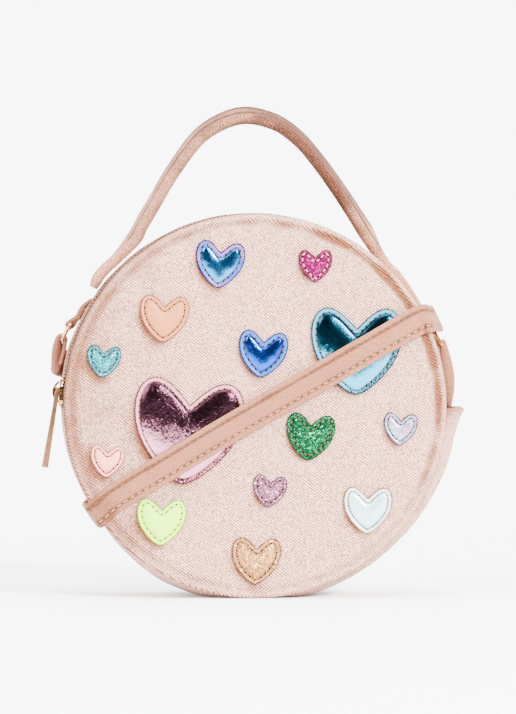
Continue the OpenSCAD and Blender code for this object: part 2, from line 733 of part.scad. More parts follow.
module heart(w, puff) {
  outline = heart_outline();
  border = 1 - 2 * heart_border_w / w;
  levels = concat([[1, 0], [1, heart_border_t]],
    [for (s = heart_dome_shares) [border * s[0], heart_border_t + puff * s[1]]]);
  n = heart_points;
  rings = len(levels);
  points = concat([[0, 0, 0]],
    [for (l = levels, p = outline) [p[0] * w * l[0], p[1] * w * l[0], l[1]]],
    [[0, 0, heart_border_t + puff]]);
  faces = concat(
    [for (i = [0:n - 1]) [0, 1 + i, 1 + (i + 1) % n]],
    [for (k = [0:rings - 2], i = [0:n - 1]) let(a = 1 + k * n + i, b = 1 + k * n + (i + 1) % n)
      [a, b + n, b]],
    [for (k = [0:rings - 2], i = [0:n - 1]) let(a = 1 + k * n + i, b = 1 + k * n + (i + 1) % n)
      [a, a + n, b + n]],
    [for (i = [0:n - 1]) let(top = 1 + (rings - 1) * n) [top + i, top + n, top + (i + 1) % n]]
  );
  polyhedron(points, faces);
}

module padded_heart(h) {
  place = h[4] * panel_r;
  color(h[1]) on_axis() translate([place[0], place[1], bag_depth / 2 + seat_gap])
    rotate([0, 0, h[5]]) heart(h[2], h[3] * heart_puff);
}

front_panel();
front_board();
front_lining();
back_panel();
back_board();
back_lining();
lower_gusset();
lower_gusset_lining();
top_gusset();
top_gusset_lining();
zip_tape_front();
zip_tape_rear();
zip_teeth_front();
zip_teeth_rear();
zip_stops();
zip_slider();
zip_pull();
carry_handle();
handle_tab_left();
handle_tab_right();
strap_tab_left();
strap_tab_right();
strap_ring_left();
strap_ring_right();
shoulder_strap();
for (h = heart_place_shares) padded_heart(h);
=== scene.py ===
import logging
import math
from dataclasses import dataclass
from enum import Enum
from typing import Callable, Sequence

import bmesh
import bpy
import numpy as np
from mathutils import Matrix, Vector, noise


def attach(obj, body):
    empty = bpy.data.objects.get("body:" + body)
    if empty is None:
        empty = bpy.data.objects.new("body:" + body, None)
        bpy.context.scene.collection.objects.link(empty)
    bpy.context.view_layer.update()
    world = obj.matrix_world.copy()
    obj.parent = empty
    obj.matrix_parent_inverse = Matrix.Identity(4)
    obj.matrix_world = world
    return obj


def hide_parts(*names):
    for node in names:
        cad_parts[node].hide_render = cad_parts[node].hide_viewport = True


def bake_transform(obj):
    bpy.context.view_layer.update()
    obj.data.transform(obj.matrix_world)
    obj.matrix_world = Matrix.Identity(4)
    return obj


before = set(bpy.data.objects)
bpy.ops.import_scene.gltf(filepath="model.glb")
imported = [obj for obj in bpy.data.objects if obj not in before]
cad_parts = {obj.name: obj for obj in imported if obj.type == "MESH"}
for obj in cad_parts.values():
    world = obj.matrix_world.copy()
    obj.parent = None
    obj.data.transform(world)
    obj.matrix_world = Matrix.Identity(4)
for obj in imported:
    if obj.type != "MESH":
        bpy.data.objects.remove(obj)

LOG = logging.getLogger("bag")
MM = 0.001
RIB_SLOPE = math.radians(38)
WELD = 1e-4
FLOOR_GAP = 0.02
SEAM_EASE = (1.7, 2.5)
Colour = tuple[float, float, float]
Station = tuple[Vector, Vector]


def part_of(share: float, colour: Colour) -> Colour:
    """Returns: a darker colour, a share of the given one."""
    return tuple(share * part for part in colour)


class Wire:
    """A shader socket on which Python arithmetic adds Math nodes."""

    def __init__(self, shop: "Shop", socket: bpy.types.NodeSocket) -> None:
        """Args: shop is the material's workshop, socket the output that is wrapped."""
        self.shop = shop
        self.socket = socket

    def math(self, operation: str, *others: "Wire | float") -> "Wire":
        """Add one Math node.

        Args: operation is its name, others are the values after this one.
        Returns: its result."""
        values = dict(enumerate([self, *others]))
        return self.shop.node("Math", {"operation": operation}, values)

    def __add__(self, other: "Wire | float") -> "Wire":
        """Returns: self + other."""
        return self.math("ADD", other)

    def __sub__(self, other: "Wire | float") -> "Wire":
        """Returns: self - other."""
        return self.math("SUBTRACT", other)

    def __rsub__(self, other: float) -> "Wire":
        """Returns: other - self."""
        return self.math("MULTIPLY_ADD", -1.0, other)

    def __mul__(self, other: "Wire | float") -> "Wire":
        """Returns: self * other."""
        return self.math("MULTIPLY", other)

    __radd__ = __add__
    __rmul__ = __mul__

    def wave(self) -> "Wire":
        """Returns: the sine of this value, from 0 to 1."""
        return self.math("SINE") * 0.5 + 0.5

    def ease(self, low: float, high: float) -> "Wire":
        """Returns: a smooth step from 0 at low to 1 at high."""
        values = {"Value": self, "From Min": low, "From Max": high}
        return self.shop.node("MapRange", {"interpolation_type": "SMOOTHSTEP"}, values)


class Shop:
    """Makes one material, or the world, and its nodes."""

    def __init__(self, name: str, store: bpy.types.bpy_prop_collection | None = None) -> None:
        """Args: name is its name, and store where it is made, the materials if none is given."""
        self.owner = (bpy.data.materials if store is None else store).new(name)
        self.owner.use_nodes = True
        self.tree = self.owner.node_tree
        self.tree.nodes.clear()

    def node(self, kind: str, settings: dict | None = None, inputs: dict | None = None,
             out: int | str = 0) -> Wire:
        """Add a node.

        Args: kind is its type without the prefix, settings its properties or a ramp's stops,
            inputs the values or wires of its sockets, out the output that is wanted.
        Returns: that output, or an empty wire for a node that has none."""
        made = self.tree.nodes.new("ShaderNode" + kind)
        for key, value in (settings or {}).items():
            if key == "stops":
                elements = made.color_ramp.elements
                for place, colour in value[2:]:
                    elements.new(place)
                for element, (place, colour) in zip(elements, sorted(value)):
                    element.position = place
                    element.color = (*colour, 1.0)
            else:
                setattr(made, key, value)
        for key, value in (inputs or {}).items():
            socket = made.inputs[key]
            if isinstance(value, Wire):
                self.tree.links.new(value.socket, socket)
            elif socket.type == "RGBA":
                socket.default_value = (*value, 1.0)
            else:
                socket.default_value = value
        return Wire(self, made.outputs[out] if made.outputs else None)

    def place(self) -> Wire:
        """Returns: the object coordinates in millimetres."""
        where = self.node("TexCoord", out="Object")
        return self.node("VectorMath", {"operation": "SCALE"}, {0: where, "Scale": 1.0 / MM})

    def split(self, vector: Wire) -> tuple[Wire, Wire, Wire]:
        """Returns: the three parts of a vector."""
        first = self.node("SeparateXYZ", inputs={0: vector})
        outputs = first.socket.node.outputs
        return first, Wire(self, outputs[1]), Wire(self, outputs[2])

    def noise(self, vector: Wire, size: float, detail: float = 2.0, stretch: float = 0.0) -> Wire:
        """Returns: a noise from 0 to 1 whose lumps are about size millimetres across."""
        values = {"Vector": vector, "Scale": 1.0 / size, "Detail": detail, "Distortion": stretch}
        return self.node("TexNoise", inputs=values)

    def cells(self, vector: Wire, size: float) -> Wire:
        """Returns: a colour of its own for each cell of about size millimetres."""
        return self.node("TexVoronoi", inputs={"Vector": vector, "Scale": 1.0 / size}, out="Color")

    def attribute(self, name: str) -> Wire:
        """Returns: a number stored on the mesh's points."""
        return self.node("Attribute", {"attribute_name": name}, out="Fac")

    def mix(self, share: Wire | float, first: Wire | Colour, second: Wire | Colour) -> Wire:
        """Returns: first where share is 0 and second where it is 1."""
        return self.node("Mix", {"data_type": "RGBA"}, {0: share, 6: first, 7: second}, out=2)

    def bump(self, height: Wire, depth: float) -> Wire:
        """Returns: a normal for a height of 0 to 1, depth millimetres deep."""
        return self.node("Bump", inputs={"Height": height, "Distance": depth * MM, "Strength": 1.0})

    def vectors(self, way: str, first: Wire, second: Wire | Colour) -> Wire:
        """Returns: a Vector Math node's result."""
        return self.node("VectorMath", {"operation": way}, {0: first, 1: second})

    def done(self, **sockets: Wire | float | Colour) -> bpy.types.Material:
        """Finish with one Principled shader.

        Args: sockets are its inputs, with underscores for spaces.
        Returns: the material."""
        inputs = {key.replace("_", " "): value for key, value in sockets.items()}
        self.node("OutputMaterial", inputs={"Surface": self.node("BsdfPrincipled", inputs=inputs)})
        return self.owner


@dataclass(frozen=True)
class Velvet:
    """Crushed velvet with fine diagonal ribs, darker and redder in random patches of flattened pile and
    where shade is painted in.
    """
    name: str
    light: Colour = (0.96, 0.58, 0.46)
    middle: Colour = (0.20, 0.075, 0.048)
    lying_shade: Colour = (0.28, 0.105, 0.054)
    dark: Colour = (0.085, 0.024, 0.010)
    rib: float = 1.03
    rib_share: float = 0.48
    patch_share: float = 0.6
    bright_low: float = 0.31

    def material(self) -> bpy.types.Material:
        """Returns: the velvet; numbers on the mesh's points for painted shade and flattened pile darken
        it, and its across counts the ribs.
        """
        shop = Shop(self.name)
        where = shop.place()
        across = shop.attribute("across") + shop.noise(where, 11.0) * 1.6
        ribs = (across * (2 * math.pi / self.rib)).wave()
        crushed = shop.noise(where, 0.42, 2.0).ease(0.32, 0.68)
        pile = ribs * self.rib_share + crushed * (1 - self.rib_share)
        bright = pile.ease(self.bright_low, 0.9)
        patch = shop.noise(where, 13.0, 3.0, 0.4) - 0.5
        # painted shade: the mesh's numbers carry shade painted at the hearts' lower left, in the rim's
        # groove, along seams and stitch grooves and over the handle's top; random patches add flattened
        # pile
        lying_shade_share = (shop.attribute("nap") + patch * self.patch_share).ease(0.05, 0.8)
        upright = shop.mix(bright, self.middle, self.light)
        # the darker colours for painted shade and flattened pile
        flat = shop.mix(bright, self.dark, self.lying_shade)
        return shop.done(Base_Color=shop.mix(lying_shade_share, upright, flat), Roughness=0.85,
                         Normal=shop.bump(pile, 0.25), Sheen_Weight=0.06, Sheen_Roughness=0.45,
                         Sheen_Tint=(1.0, 0.86, 0.78), Specular_IOR_Level=0.1)


@dataclass(frozen=True)
class Woven:
    """A plain woven cloth or tape."""
    name: str
    colour: Colour
    thread: float = 0.5

    def material(self) -> bpy.types.Material:
        """Returns: cloth with threads both ways."""
        shop = Shop(self.name)
        where = shop.place()
        x, y, z = shop.split(where)
        turn = 2 * math.pi / self.thread
        weave = (y * turn).wave() * ((x + z) * turn).wave()
        dirt = shop.noise(where, 9.0)
        colour = shop.mix(weave * 0.6 + dirt * 0.4, part_of(0.72, self.colour), self.colour)
        return shop.done(Base_Color=colour, Roughness=0.8, Normal=shop.bump(weave, 0.1),
                         Specular_IOR_Level=0.25)


@dataclass(frozen=True)
class Metal:
    """Plated metal with fine wear."""
    name: str
    colour: Colour
    rough: float

    def material(self) -> bpy.types.Material:
        """Returns: the metal."""
        shop = Shop(self.name)
        where = shop.place()
        wear = shop.noise(where, 1.6, 4.0)
        colour = shop.mix(wear.ease(0.35, 0.6), part_of(0.85, self.colour), self.colour)
        return shop.done(Base_Color=colour, Metallic=1.0, Roughness=wear * 0.1 + (self.rough - 0.05),
                         Normal=shop.bump(shop.noise(where, 0.7, 3.0), 0.02))


@dataclass(frozen=True)
class Board:
    """Grey-brown pressed board."""
    name: str
    colour: Colour

    def material(self) -> bpy.types.Material:
        """Returns: the board."""
        shop = Shop(self.name)
        fibre = shop.noise(shop.place(), 1.2, 5.0, 1.0)
        colour = shop.mix(fibre, part_of(0.6, self.colour), self.colour)
        return shop.done(Base_Color=colour, Roughness=0.9, Normal=shop.bump(fibre, 0.1))


@dataclass(frozen=True)
class Thread:
    """Sewing thread with a slight twist."""
    name: str
    colour: Colour

    def material(self) -> bpy.types.Material:
        """Returns: the thread."""
        shop = Shop(self.name)
        twist = shop.noise(shop.place(), 0.3)
        colour = shop.mix(twist, part_of(0.75, self.colour), self.colour)
        return shop.done(Base_Color=colour, Roughness=0.7, Normal=shop.bump(twist, 0.05),
                         Specular_IOR_Level=0.05)


class Cloth(Enum):
    """The kinds of cloth that a heart is cut from."""
    FOIL = "foil"
    GLITTER = "glitter"
    SATIN = "satin"
    PEARL = "pearl"


@dataclass(frozen=True)
class HeartCloth:
    """The cloth of one heart: its border, its stuffed middle and its cut edge."""
    name: str
    kind: Cloth
    border: Colour
    middle: Colour
    edge: Colour
    speck: Colour = (0.9, 0.9, 0.8)
    # on foil, shade is the colour of a painted dark reflection on the lobes
    shade: Colour = (0.02, 0.02, 0.04)
    tint: Colour | None = None
    band: Colour | None = None
    lobe_share: float = 0.8
    crease: float = 0.0

    def material(self) -> bpy.types.Material:
        """Returns: the cloth; the mesh's inset attribute tells the border from the middle."""
        shop = Shop(self.name)
        where = shop.place()
        inset = shop.attribute("inset")
        border = self.border
        if self.tint:
            border = shop.mix(shop.noise(where, 7.0, 1.0).ease(0.42, 0.58), self.border, self.tint)
        if self.band:
            low_right = (shop.attribute("aside") * 0.8 - shop.attribute("high") * 0.6).ease(0.16, 0.22)
            grains = shop.noise(where, 0.7).ease(0.4, 0.55)
            border = shop.mix(low_right * grains, border, self.band)
        colour = shop.mix(inset.ease(*SEAM_EASE), border, self.middle)
        ragged = shop.noise(where, 0.9) * 0.5 - 0.25
        cut = (inset + ragged).ease(0.35, 0.75)
        maker = {Cloth.FOIL: self.foil, Cloth.GLITTER: self.glitter, Cloth.SATIN: self.satin,
                 Cloth.PEARL: self.pearl}[self.kind]
        return maker(shop, where, shop.mix(cut, self.edge, colour), cut)

    def foil(self, shop: Shop, where: Wire, colour: Wire, cut: Wire) -> bpy.types.Material:
        """Returns: mirror-like crinkled foil, with a painted dark reflection on its lobes that leaves
        the lower part brighter.
        """
        crinkle = shop.noise(where, 1.5, 4.0, 1.0)
        grain = shop.noise(where, 0.55)
        flat = shop.attribute("inset").ease(*SEAM_EASE)
        # painted reflection: the upper lobes take the dark shade colour, ending in a crinkled line
        lobes = (shop.attribute("high") + (crinkle - 0.5) * 0.55).ease(-0.12, 0.08)
        colour = shop.mix(lobes * flat * self.lobe_share, colour, self.shade)
        specks = shop.noise(where, 0.4).ease(0.58, 0.68)
        colour = shop.mix(specks * 0.35 * cut * (1 - flat), colour, self.speck)
        height = crinkle * self.crease + grain * 0.16
        return shop.done(Base_Color=colour, Metallic=cut * (0.35 + flat * 0.63),
                         Roughness=0.4 - flat * 0.18, Normal=shop.bump(height, 0.22),
                         Specular_IOR_Level=0.1)

    def glitter(self, shop: Shop, where: Wire, colour: Wire, cut: Wire) -> bpy.types.Material:
        """Returns: cloth covered with flakes that face every way, some with painted glints and some with
        painted dark reflections.
        """
        flake = shop.cells(where, 0.42)
        tone = shop.split(flake)[0]
        # painted glints on the pale flakes and painted dark reflections on the deep ones; the tilted
        # normals add real glints
        pale = tone.ease(0.86, 0.95)
        deep = 1 - tone.ease(0.02, 0.35)
        colour = shop.mix(pale * cut, colour, self.speck)
        colour = shop.mix(deep * 0.75, colour, part_of(0.2, self.middle))
        lean = shop.vectors("SUBTRACT", flake, (0.5, 0.5, 0.5))
        lean = shop.vectors("MULTIPLY", lean, (0.9, 0.9, 0.9))
        normal = shop.vectors("ADD", shop.node("NewGeometry", out="Normal"), lean)
        normal = shop.node("VectorMath", {"operation": "NORMALIZE"}, {0: normal})
        return shop.done(Base_Color=colour, Metallic=cut * 0.5, Roughness=0.35, Normal=normal,
                         Specular_IOR_Level=0.1)

    def satin(self, shop: Shop, where: Wire, colour: Wire, _cut: Wire) -> bpy.types.Material:
        """Returns: smooth satin with a fine weave."""
        x, _, z = shop.split(where)
        weave = ((x + z) * 9.0).wave()
        soft = shop.noise(where, 3.0)
        colour = shop.mix(soft * 0.25 + weave * 0.1, colour, part_of(0.8, self.middle))
        return shop.done(Base_Color=colour, Roughness=0.5, Normal=shop.bump(weave * 0.5 + soft, 0.08),
                         Specular_IOR_Level=0.25)

    def pearl(self, shop: Shop, where: Wire, colour: Wire, cut: Wire) -> bpy.types.Material:
        """Returns: pearly cloth whose tint wanders between two colours."""
        tint = shop.noise(where, 3.2, 2.0, 0.8).ease(0.35, 0.65)
        colour = shop.mix(tint * cut * 0.7, colour, self.speck)
        return shop.done(Base_Color=colour, Metallic=0.35, Roughness=0.28,
                         Normal=shop.bump(shop.noise(where, 0.8, 3.0), 0.06), Specular_IOR_Level=0.2)


@dataclass(frozen=True)
class BagShape:
    """The bag's main sizes in millimetres, as the solids have them."""
    axis_h: float = 86.6
    panel_r: float = 86.5
    half_depth: float = 25.0
    gusset_half: float = 21.5
    edge_r: float = 86.3
    low_swell: float = 3.7
    top_swell: float = 1.7
    top_cloth_swell: float = 1.2
    handle_back: float = 10.0
    strap_w: float = 13.0
    ring_r: float = 90.355
    left_ring_a: float = 155.965
    right_ring_a: float = 22.337

    def skin_r(self, f: float, swell: float) -> float:
        """Returns: the gusset's radius at f in front of the mid plane."""
        return self.edge_r + swell * (1 - (f / self.gusset_half) ** 2)

    def at(self, r: float, a: float, f: float) -> Vector:
        """Returns: the point at radius r, angle a from the right, and f to the front."""
        turn = math.radians(a)
        return Vector((r * math.cos(turn), -f, self.axis_h + r * math.sin(turn)))

    def out(self, a: float, f: float = 0.0) -> Vector:
        """Returns: the way outwards at angle a, leaning f to the front."""
        turn = math.radians(a)
        return Vector((math.cos(turn), -f, math.sin(turn)))


SHAPE = BagShape()


def smooth_line(points: Sequence[Vector], steps: int) -> list[Vector]:
    """Pass a smooth curve through points.

    Args: points are on the curve, steps is how many pieces each span gets.
    Returns: the curve's points."""
    last = len(points) - 1
    line = []
    for i in range(last):
        p0, p1, p2, p3 = (points[max(0, min(last, i + k))] for k in (-1, 0, 1, 2))
        for k in range(steps):
            t = k / steps
            line.append(p1 + (p2 - p0) * (t / 2) + (p0 - 2.5 * p1 + 2 * p2 - p3 * 0.5) * t * t
                        + (1.5 * (p1 - p2) + (p3 - p0) * 0.5) * t ** 3)
    return line + [points[last].copy()]


def lumps(where: Vector, size: float, seed: float = 0.0) -> float:
    """Returns: a smooth noise from -1 to 1 with lumps of about size millimetres."""
    return noise.noise(Vector((where.x, where.y, where.z + seed)) / size)


def rib_place(u: float, v: float) -> float:
    """Returns: how far a point u along and v up the cloth is across its slanting ribs."""
    return u * math.sin(RIB_SLOPE) + v * math.cos(RIB_SLOPE)


def smooth(x: float) -> float:
    """Returns: a smooth step from 0 at 0 to 1 at 1."""
    t = min(1.0, max(0.0, x))
    return t * t * (3 - 2 * t)


def bell(x: float, middle: float, width: float, power: int = 2) -> float:
    """Returns: a hump that is 1 at middle and falls off width away from it."""
    return math.exp(-((x - middle) / width) ** power)


def point_numbers(bm: bmesh.types.BMesh, *names: str) -> list[bmesh.types.BMLayerItem]:
    """Returns: a layer for each name, which holds one number for each point."""
    return [bm.verts.layers.float.new(name) for name in names]


def smooth_mesh(name: str, bm: bmesh.types.BMesh) -> bpy.types.Mesh:
    """Returns: a mesh in metres of a bmesh in millimetres, which is used up."""
    bmesh.ops.scale(bm, vec=(MM, MM, MM), verts=bm.verts)
    mesh = bpy.data.meshes.new(name)
    bm.to_mesh(mesh)
    bm.free()
    mesh.polygons.foreach_set("use_smooth", [True] * len(mesh.polygons))
    return mesh


def hang(name: str, data: bpy.types.ID) -> bpy.types.Object:
    """Returns: a new object of the data, in the scene."""
    made = bpy.data.objects.new(name, data)
    bpy.context.scene.collection.objects.link(made)
    return made


class Workshop:
    """Turns bmeshes in millimetres into pieces that ride on a body of the bag."""

    def __init__(self) -> None:
        """Keeps one material for each finish."""
        self.made: dict[str, bpy.types.Material] = {}

    def material(self, finish: object) -> bpy.types.Material:
        """Returns: the finish's material, made once."""
        if finish.name not in self.made:
            self.made[finish.name] = finish.material()
        return self.made[finish.name]

    def piece(self, name: str, bm: bmesh.types.BMesh, finish: object, slot: str, body: str = "bag",
              replaces: Sequence[str] = (), sharp: float = 50.0) -> bpy.types.Object:
        """Make a piece of a bmesh.

        Args: name, finish, body and replaces say what it is, slot is not used, and sharp is the
            angle past which an edge stays sharp.
        Returns: the piece."""
        bmesh.ops.remove_doubles(bm, verts=bm.verts, dist=WELD)
        bmesh.ops.recalc_face_normals(bm, faces=bm.faces)
        mesh = smooth_mesh(name, bm)
        mesh.set_sharp_from_angle(angle=math.radians(sharp))
        made = hang(name, mesh)
        mesh.materials.append(self.material(finish))
        if replaces:
            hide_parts(*replaces)
        if body:
            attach(made, body)
        LOG.info("%s: %d faces", name, len(mesh.polygons))
        return made

    def dress(self, node: str, finish: object) -> None:
        """Give a CAD node that stays its finish."""
        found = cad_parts[node]
        found.data.materials.clear()
        found.data.materials.append(self.material(finish))
        LOG.info("%s keeps its solid", node)


def sweep(bm: bmesh.types.BMesh, rings: Sequence[Sequence[Vector]]) -> list[list[bmesh.types.BMVert]]:
    """Join closed rings of points into one closed skin.

    Args: rings all have the same number of points.
    Returns: the points of each ring."""
    made = []
    edges = []
    for ring in rings:
        points = [bm.verts.new(p) for p in ring]
        made.append(points)
        edges.append([bm.edges.new((points[i - 1], points[i])) for i in range(len(points))])
    for first, second in zip(edges, edges[1:]):
        bmesh.ops.bridge_loops(bm, edges=first + second)
    bmesh.ops.contextual_create(bm, geom=edges[0])
    bmesh.ops.contextual_create(bm, geom=edges[-1])
    return made


@dataclass
class Stitches:
    """Rows of thread dashes with a dark needle hole between them, whose darkness is painted shade."""
    length: float
    pitch: float
    thread_r: float
    hole_r: float
    dash_share: float = 0.72
    thread_flat: float = 0.8
    hole_flat: float = 0.35

    def __post_init__(self) -> None:
        """Starts the thread's and the holes' bmeshes."""
        self.thread = bmesh.new()
        self.holes = bmesh.new()

    def run(self, points: Sequence[Vector], outs: Sequence[Vector]) -> None:
        """Sew along a line, with needle holes as small dark buttons that are sunk in the cloth and stand
        for the shade in the holes.

        Args: points and outs are the line and the way out of the cloth there."""
        reach = [0.0]
        for a, b in zip(points, points[1:]):
            reach.append(reach[-1] + (b - a).length)
        count = max(2, round(reach[-1] / self.pitch))
        step = reach[-1] / count
        half = min(self.length, step * self.dash_share) / 2
        dash = (half, self.thread_r, self.thread_r * self.thread_flat, 1.0)
        hole = (self.hole_r, self.hole_r, self.hole_r * self.hole_flat, 1.0)
        for k in range(count):
            for bm, s, size in ((self.thread, (k + 0.5) * step, dash), (self.holes, k * step, hole)):
                matrix = self.spot(points, outs, reach, s) @ Matrix.Diagonal(size)
                bmesh.ops.create_uvsphere(bm, u_segments=6, v_segments=4, radius=1.0, matrix=matrix)

    def spot(self, points: Sequence[Vector], outs: Sequence[Vector], reach: Sequence[float],
             s: float) -> Matrix:
        """Returns: a frame at length s, x along the line and z out of the cloth."""
        i = max(1, min(len(points) - 1, int(np.searchsorted(reach, s))))
        span = max(1e-6, reach[i] - reach[i - 1])
        t = (s - reach[i - 1]) / span
        along = (points[i] - points[i - 1]).normalized()
        out = outs[i - 1].lerp(outs[i], t)
        out = (out - along * out.dot(along)).normalized()
        turned = Matrix((along, out.cross(along), out)).transposed().to_4x4()
        return Matrix.Translation(points[i - 1].lerp(points[i], t)) @ turned


@dataclass(frozen=True)
class HeartPlan:
    """One heart: its node, width and puff in millimetres, place on the front and tilt."""
    node: str
    width: float
    puff: float
    share: tuple[float, float]
    tilt: float
    cloth: HeartCloth
    thread: Thread

    @property
    def centre(self) -> tuple[float, float]:
        """Returns: the place of its middle, x and z."""
        return self.share[0] * SHAPE.panel_r, SHAPE.axis_h + self.share[1] * SHAPE.panel_r

    def outline(self, count: int = 112) -> np.ndarray:
        """Returns: the heart's outline about its middle, untilted."""
        t = np.arange(count) * 2 * np.pi / count
        power = np.where(np.cos(t) > 0, 1.85, 1.22)
        x = np.sign(np.sin(t)) * np.abs(np.sin(t)) ** power / 2
        y = (13 * np.cos(t) - 5 * np.cos(2 * t) - 2 * np.cos(3 * t) - np.cos(4 * t) + 2.5) / 30.6
        return np.stack([x, y], axis=1) * self.width

    def tilted(self, points: np.ndarray) -> np.ndarray:
        """Returns: points turned by the heart's tilt and put in their place on the front."""
        turn = math.radians(self.tilt)
        spin = np.array([[math.cos(turn), math.sin(turn)], [-math.sin(turn), math.cos(turn)]])
        return points @ spin + np.array(self.centre)


def edge_gap(points: np.ndarray, outline: np.ndarray) -> np.ndarray:
    """Returns: how far each point is from a closed outline."""
    side = np.roll(outline, -1, axis=0) - outline
    away = points[:, None, :] - outline[None]
    t = np.clip((away * side).sum(axis=2) / np.maximum(1e-9, (side ** 2).sum(axis=1)), 0, 1)
    return np.linalg.norm(away - t[..., None] * side, axis=2).min(axis=1)


@dataclass
class PaddedHeart:
    """A heart of cloth with a flat stitched border and a stuffed middle."""
    plan: HeartPlan
    border_t: float = 0.6
    seam_in: float = 2.1
    small_w: float = 18.0
    small_seam: float = 0.85
    shelf: tuple[float, ...] = (1.0, 0.985, 0.965, 0.94, 0.91, 0.88, 0.85, 0.81, 0.77, 0.72, 0.66,
                                0.58, 0.49, 0.39, 0.28, 0.17, 0.08)

    def height(self, inset: np.ndarray) -> np.ndarray:
        """Returns: the height of the cloth over the front at each inset from the edge."""
        flat = self.border_t + 0.12 * np.minimum(1, inset / 0.5)
        pinch = -0.4 * np.exp(-((inset - self.seam_in) / 0.45) ** 2)
        room = 0.2 * self.plan.width
        rise = np.clip((inset - self.seam_in) / room, 0, 1)
        return flat + pinch + self.plan.puff * np.sqrt(1 - (1 - rise) ** 2) ** 1.15

    def build(self, shop: Workshop) -> None:
        """Make the heart, its thread and its needle holes."""
        plan = self.plan
        if plan.width <= self.small_w:
            self.seam_in *= self.small_seam
        outline = plan.outline()
        bm = bmesh.new()
        inset, high, aside = point_numbers(bm, "inset", "high", "aside")
        start_f = SHAPE.half_depth + 0.05
        none = np.zeros(len(outline))
        rings = [(outline, none, none)]
        for share in self.shelf:
            gap = edge_gap(outline * share, outline) if share < 1 else none
            rings.append((outline * share, self.height(gap), gap))
        loops = []
        for points, heights, gap in rings:
            loops.append([])
            for p, h, far_in in zip(plan.tilted(points), heights, gap):
                place = Vector((p[0], 0, p[1]))
                crumple = 0.12 * lumps(place, 4.2, 7.0) + 0.05 * lumps(place, 1.9, 2.0)
                h += 0.08 * lumps(place, 3.0) + min(1.0, far_in / 3.0) * plan.cloth.crease * crumple
                loops[-1].append(Vector((p[0], -start_f - h, p[1])))
        for ring, (points, _, gap) in zip(sweep(bm, loops), rings):
            for vert, far_in, point in zip(ring, gap, points):
                vert[inset] = float(far_in)
                vert[high] = float(point[1]) / plan.width
                vert[aside] = float(point[0]) / plan.width
        heart = shop.piece(plan.node + "_cloth", bm, plan.cloth, plan.cloth.name,
                           replaces=[plan.node], sharp=70)
        self.sew(shop, outline)

    def sew(self, shop: Workshop, outline: np.ndarray) -> None:
        """Sew round the heart at the seam's inset."""
        plan = self.plan
        placed = plan.tilted(self.seam_line(outline))
        heights = self.height(np.full(len(placed), self.seam_in))
        line = [Vector((p[0], -SHAPE.half_depth - 0.42 - h, p[1])) for p, h in zip(placed, heights)]
        stitches = Stitches(length=1.8, pitch=2.7, thread_r=0.3, hole_r=0.48)
        stitches.run(line + line[:1], [Vector((0, -1, 0))] * (len(line) + 1))
        shop.piece(plan.node + "_thread", stitches.thread, plan.thread, plan.cloth.name)
        shop.piece(plan.node + "_holes", stitches.holes, HOLE, plan.cloth.name)

    def seam_line(self, outline: np.ndarray) -> np.ndarray:
        """Returns: points on rays from the middle whose inset is the seam's."""
        low, high = np.full(len(outline), 0.2), np.ones(len(outline))
        for _ in range(14):
            mid = (low + high) / 2
            inside = edge_gap(outline * mid[:, None], outline) > self.seam_in
            low, high = np.where(inside, mid, low), np.where(inside, high, mid)
        return outline * low[:, None]


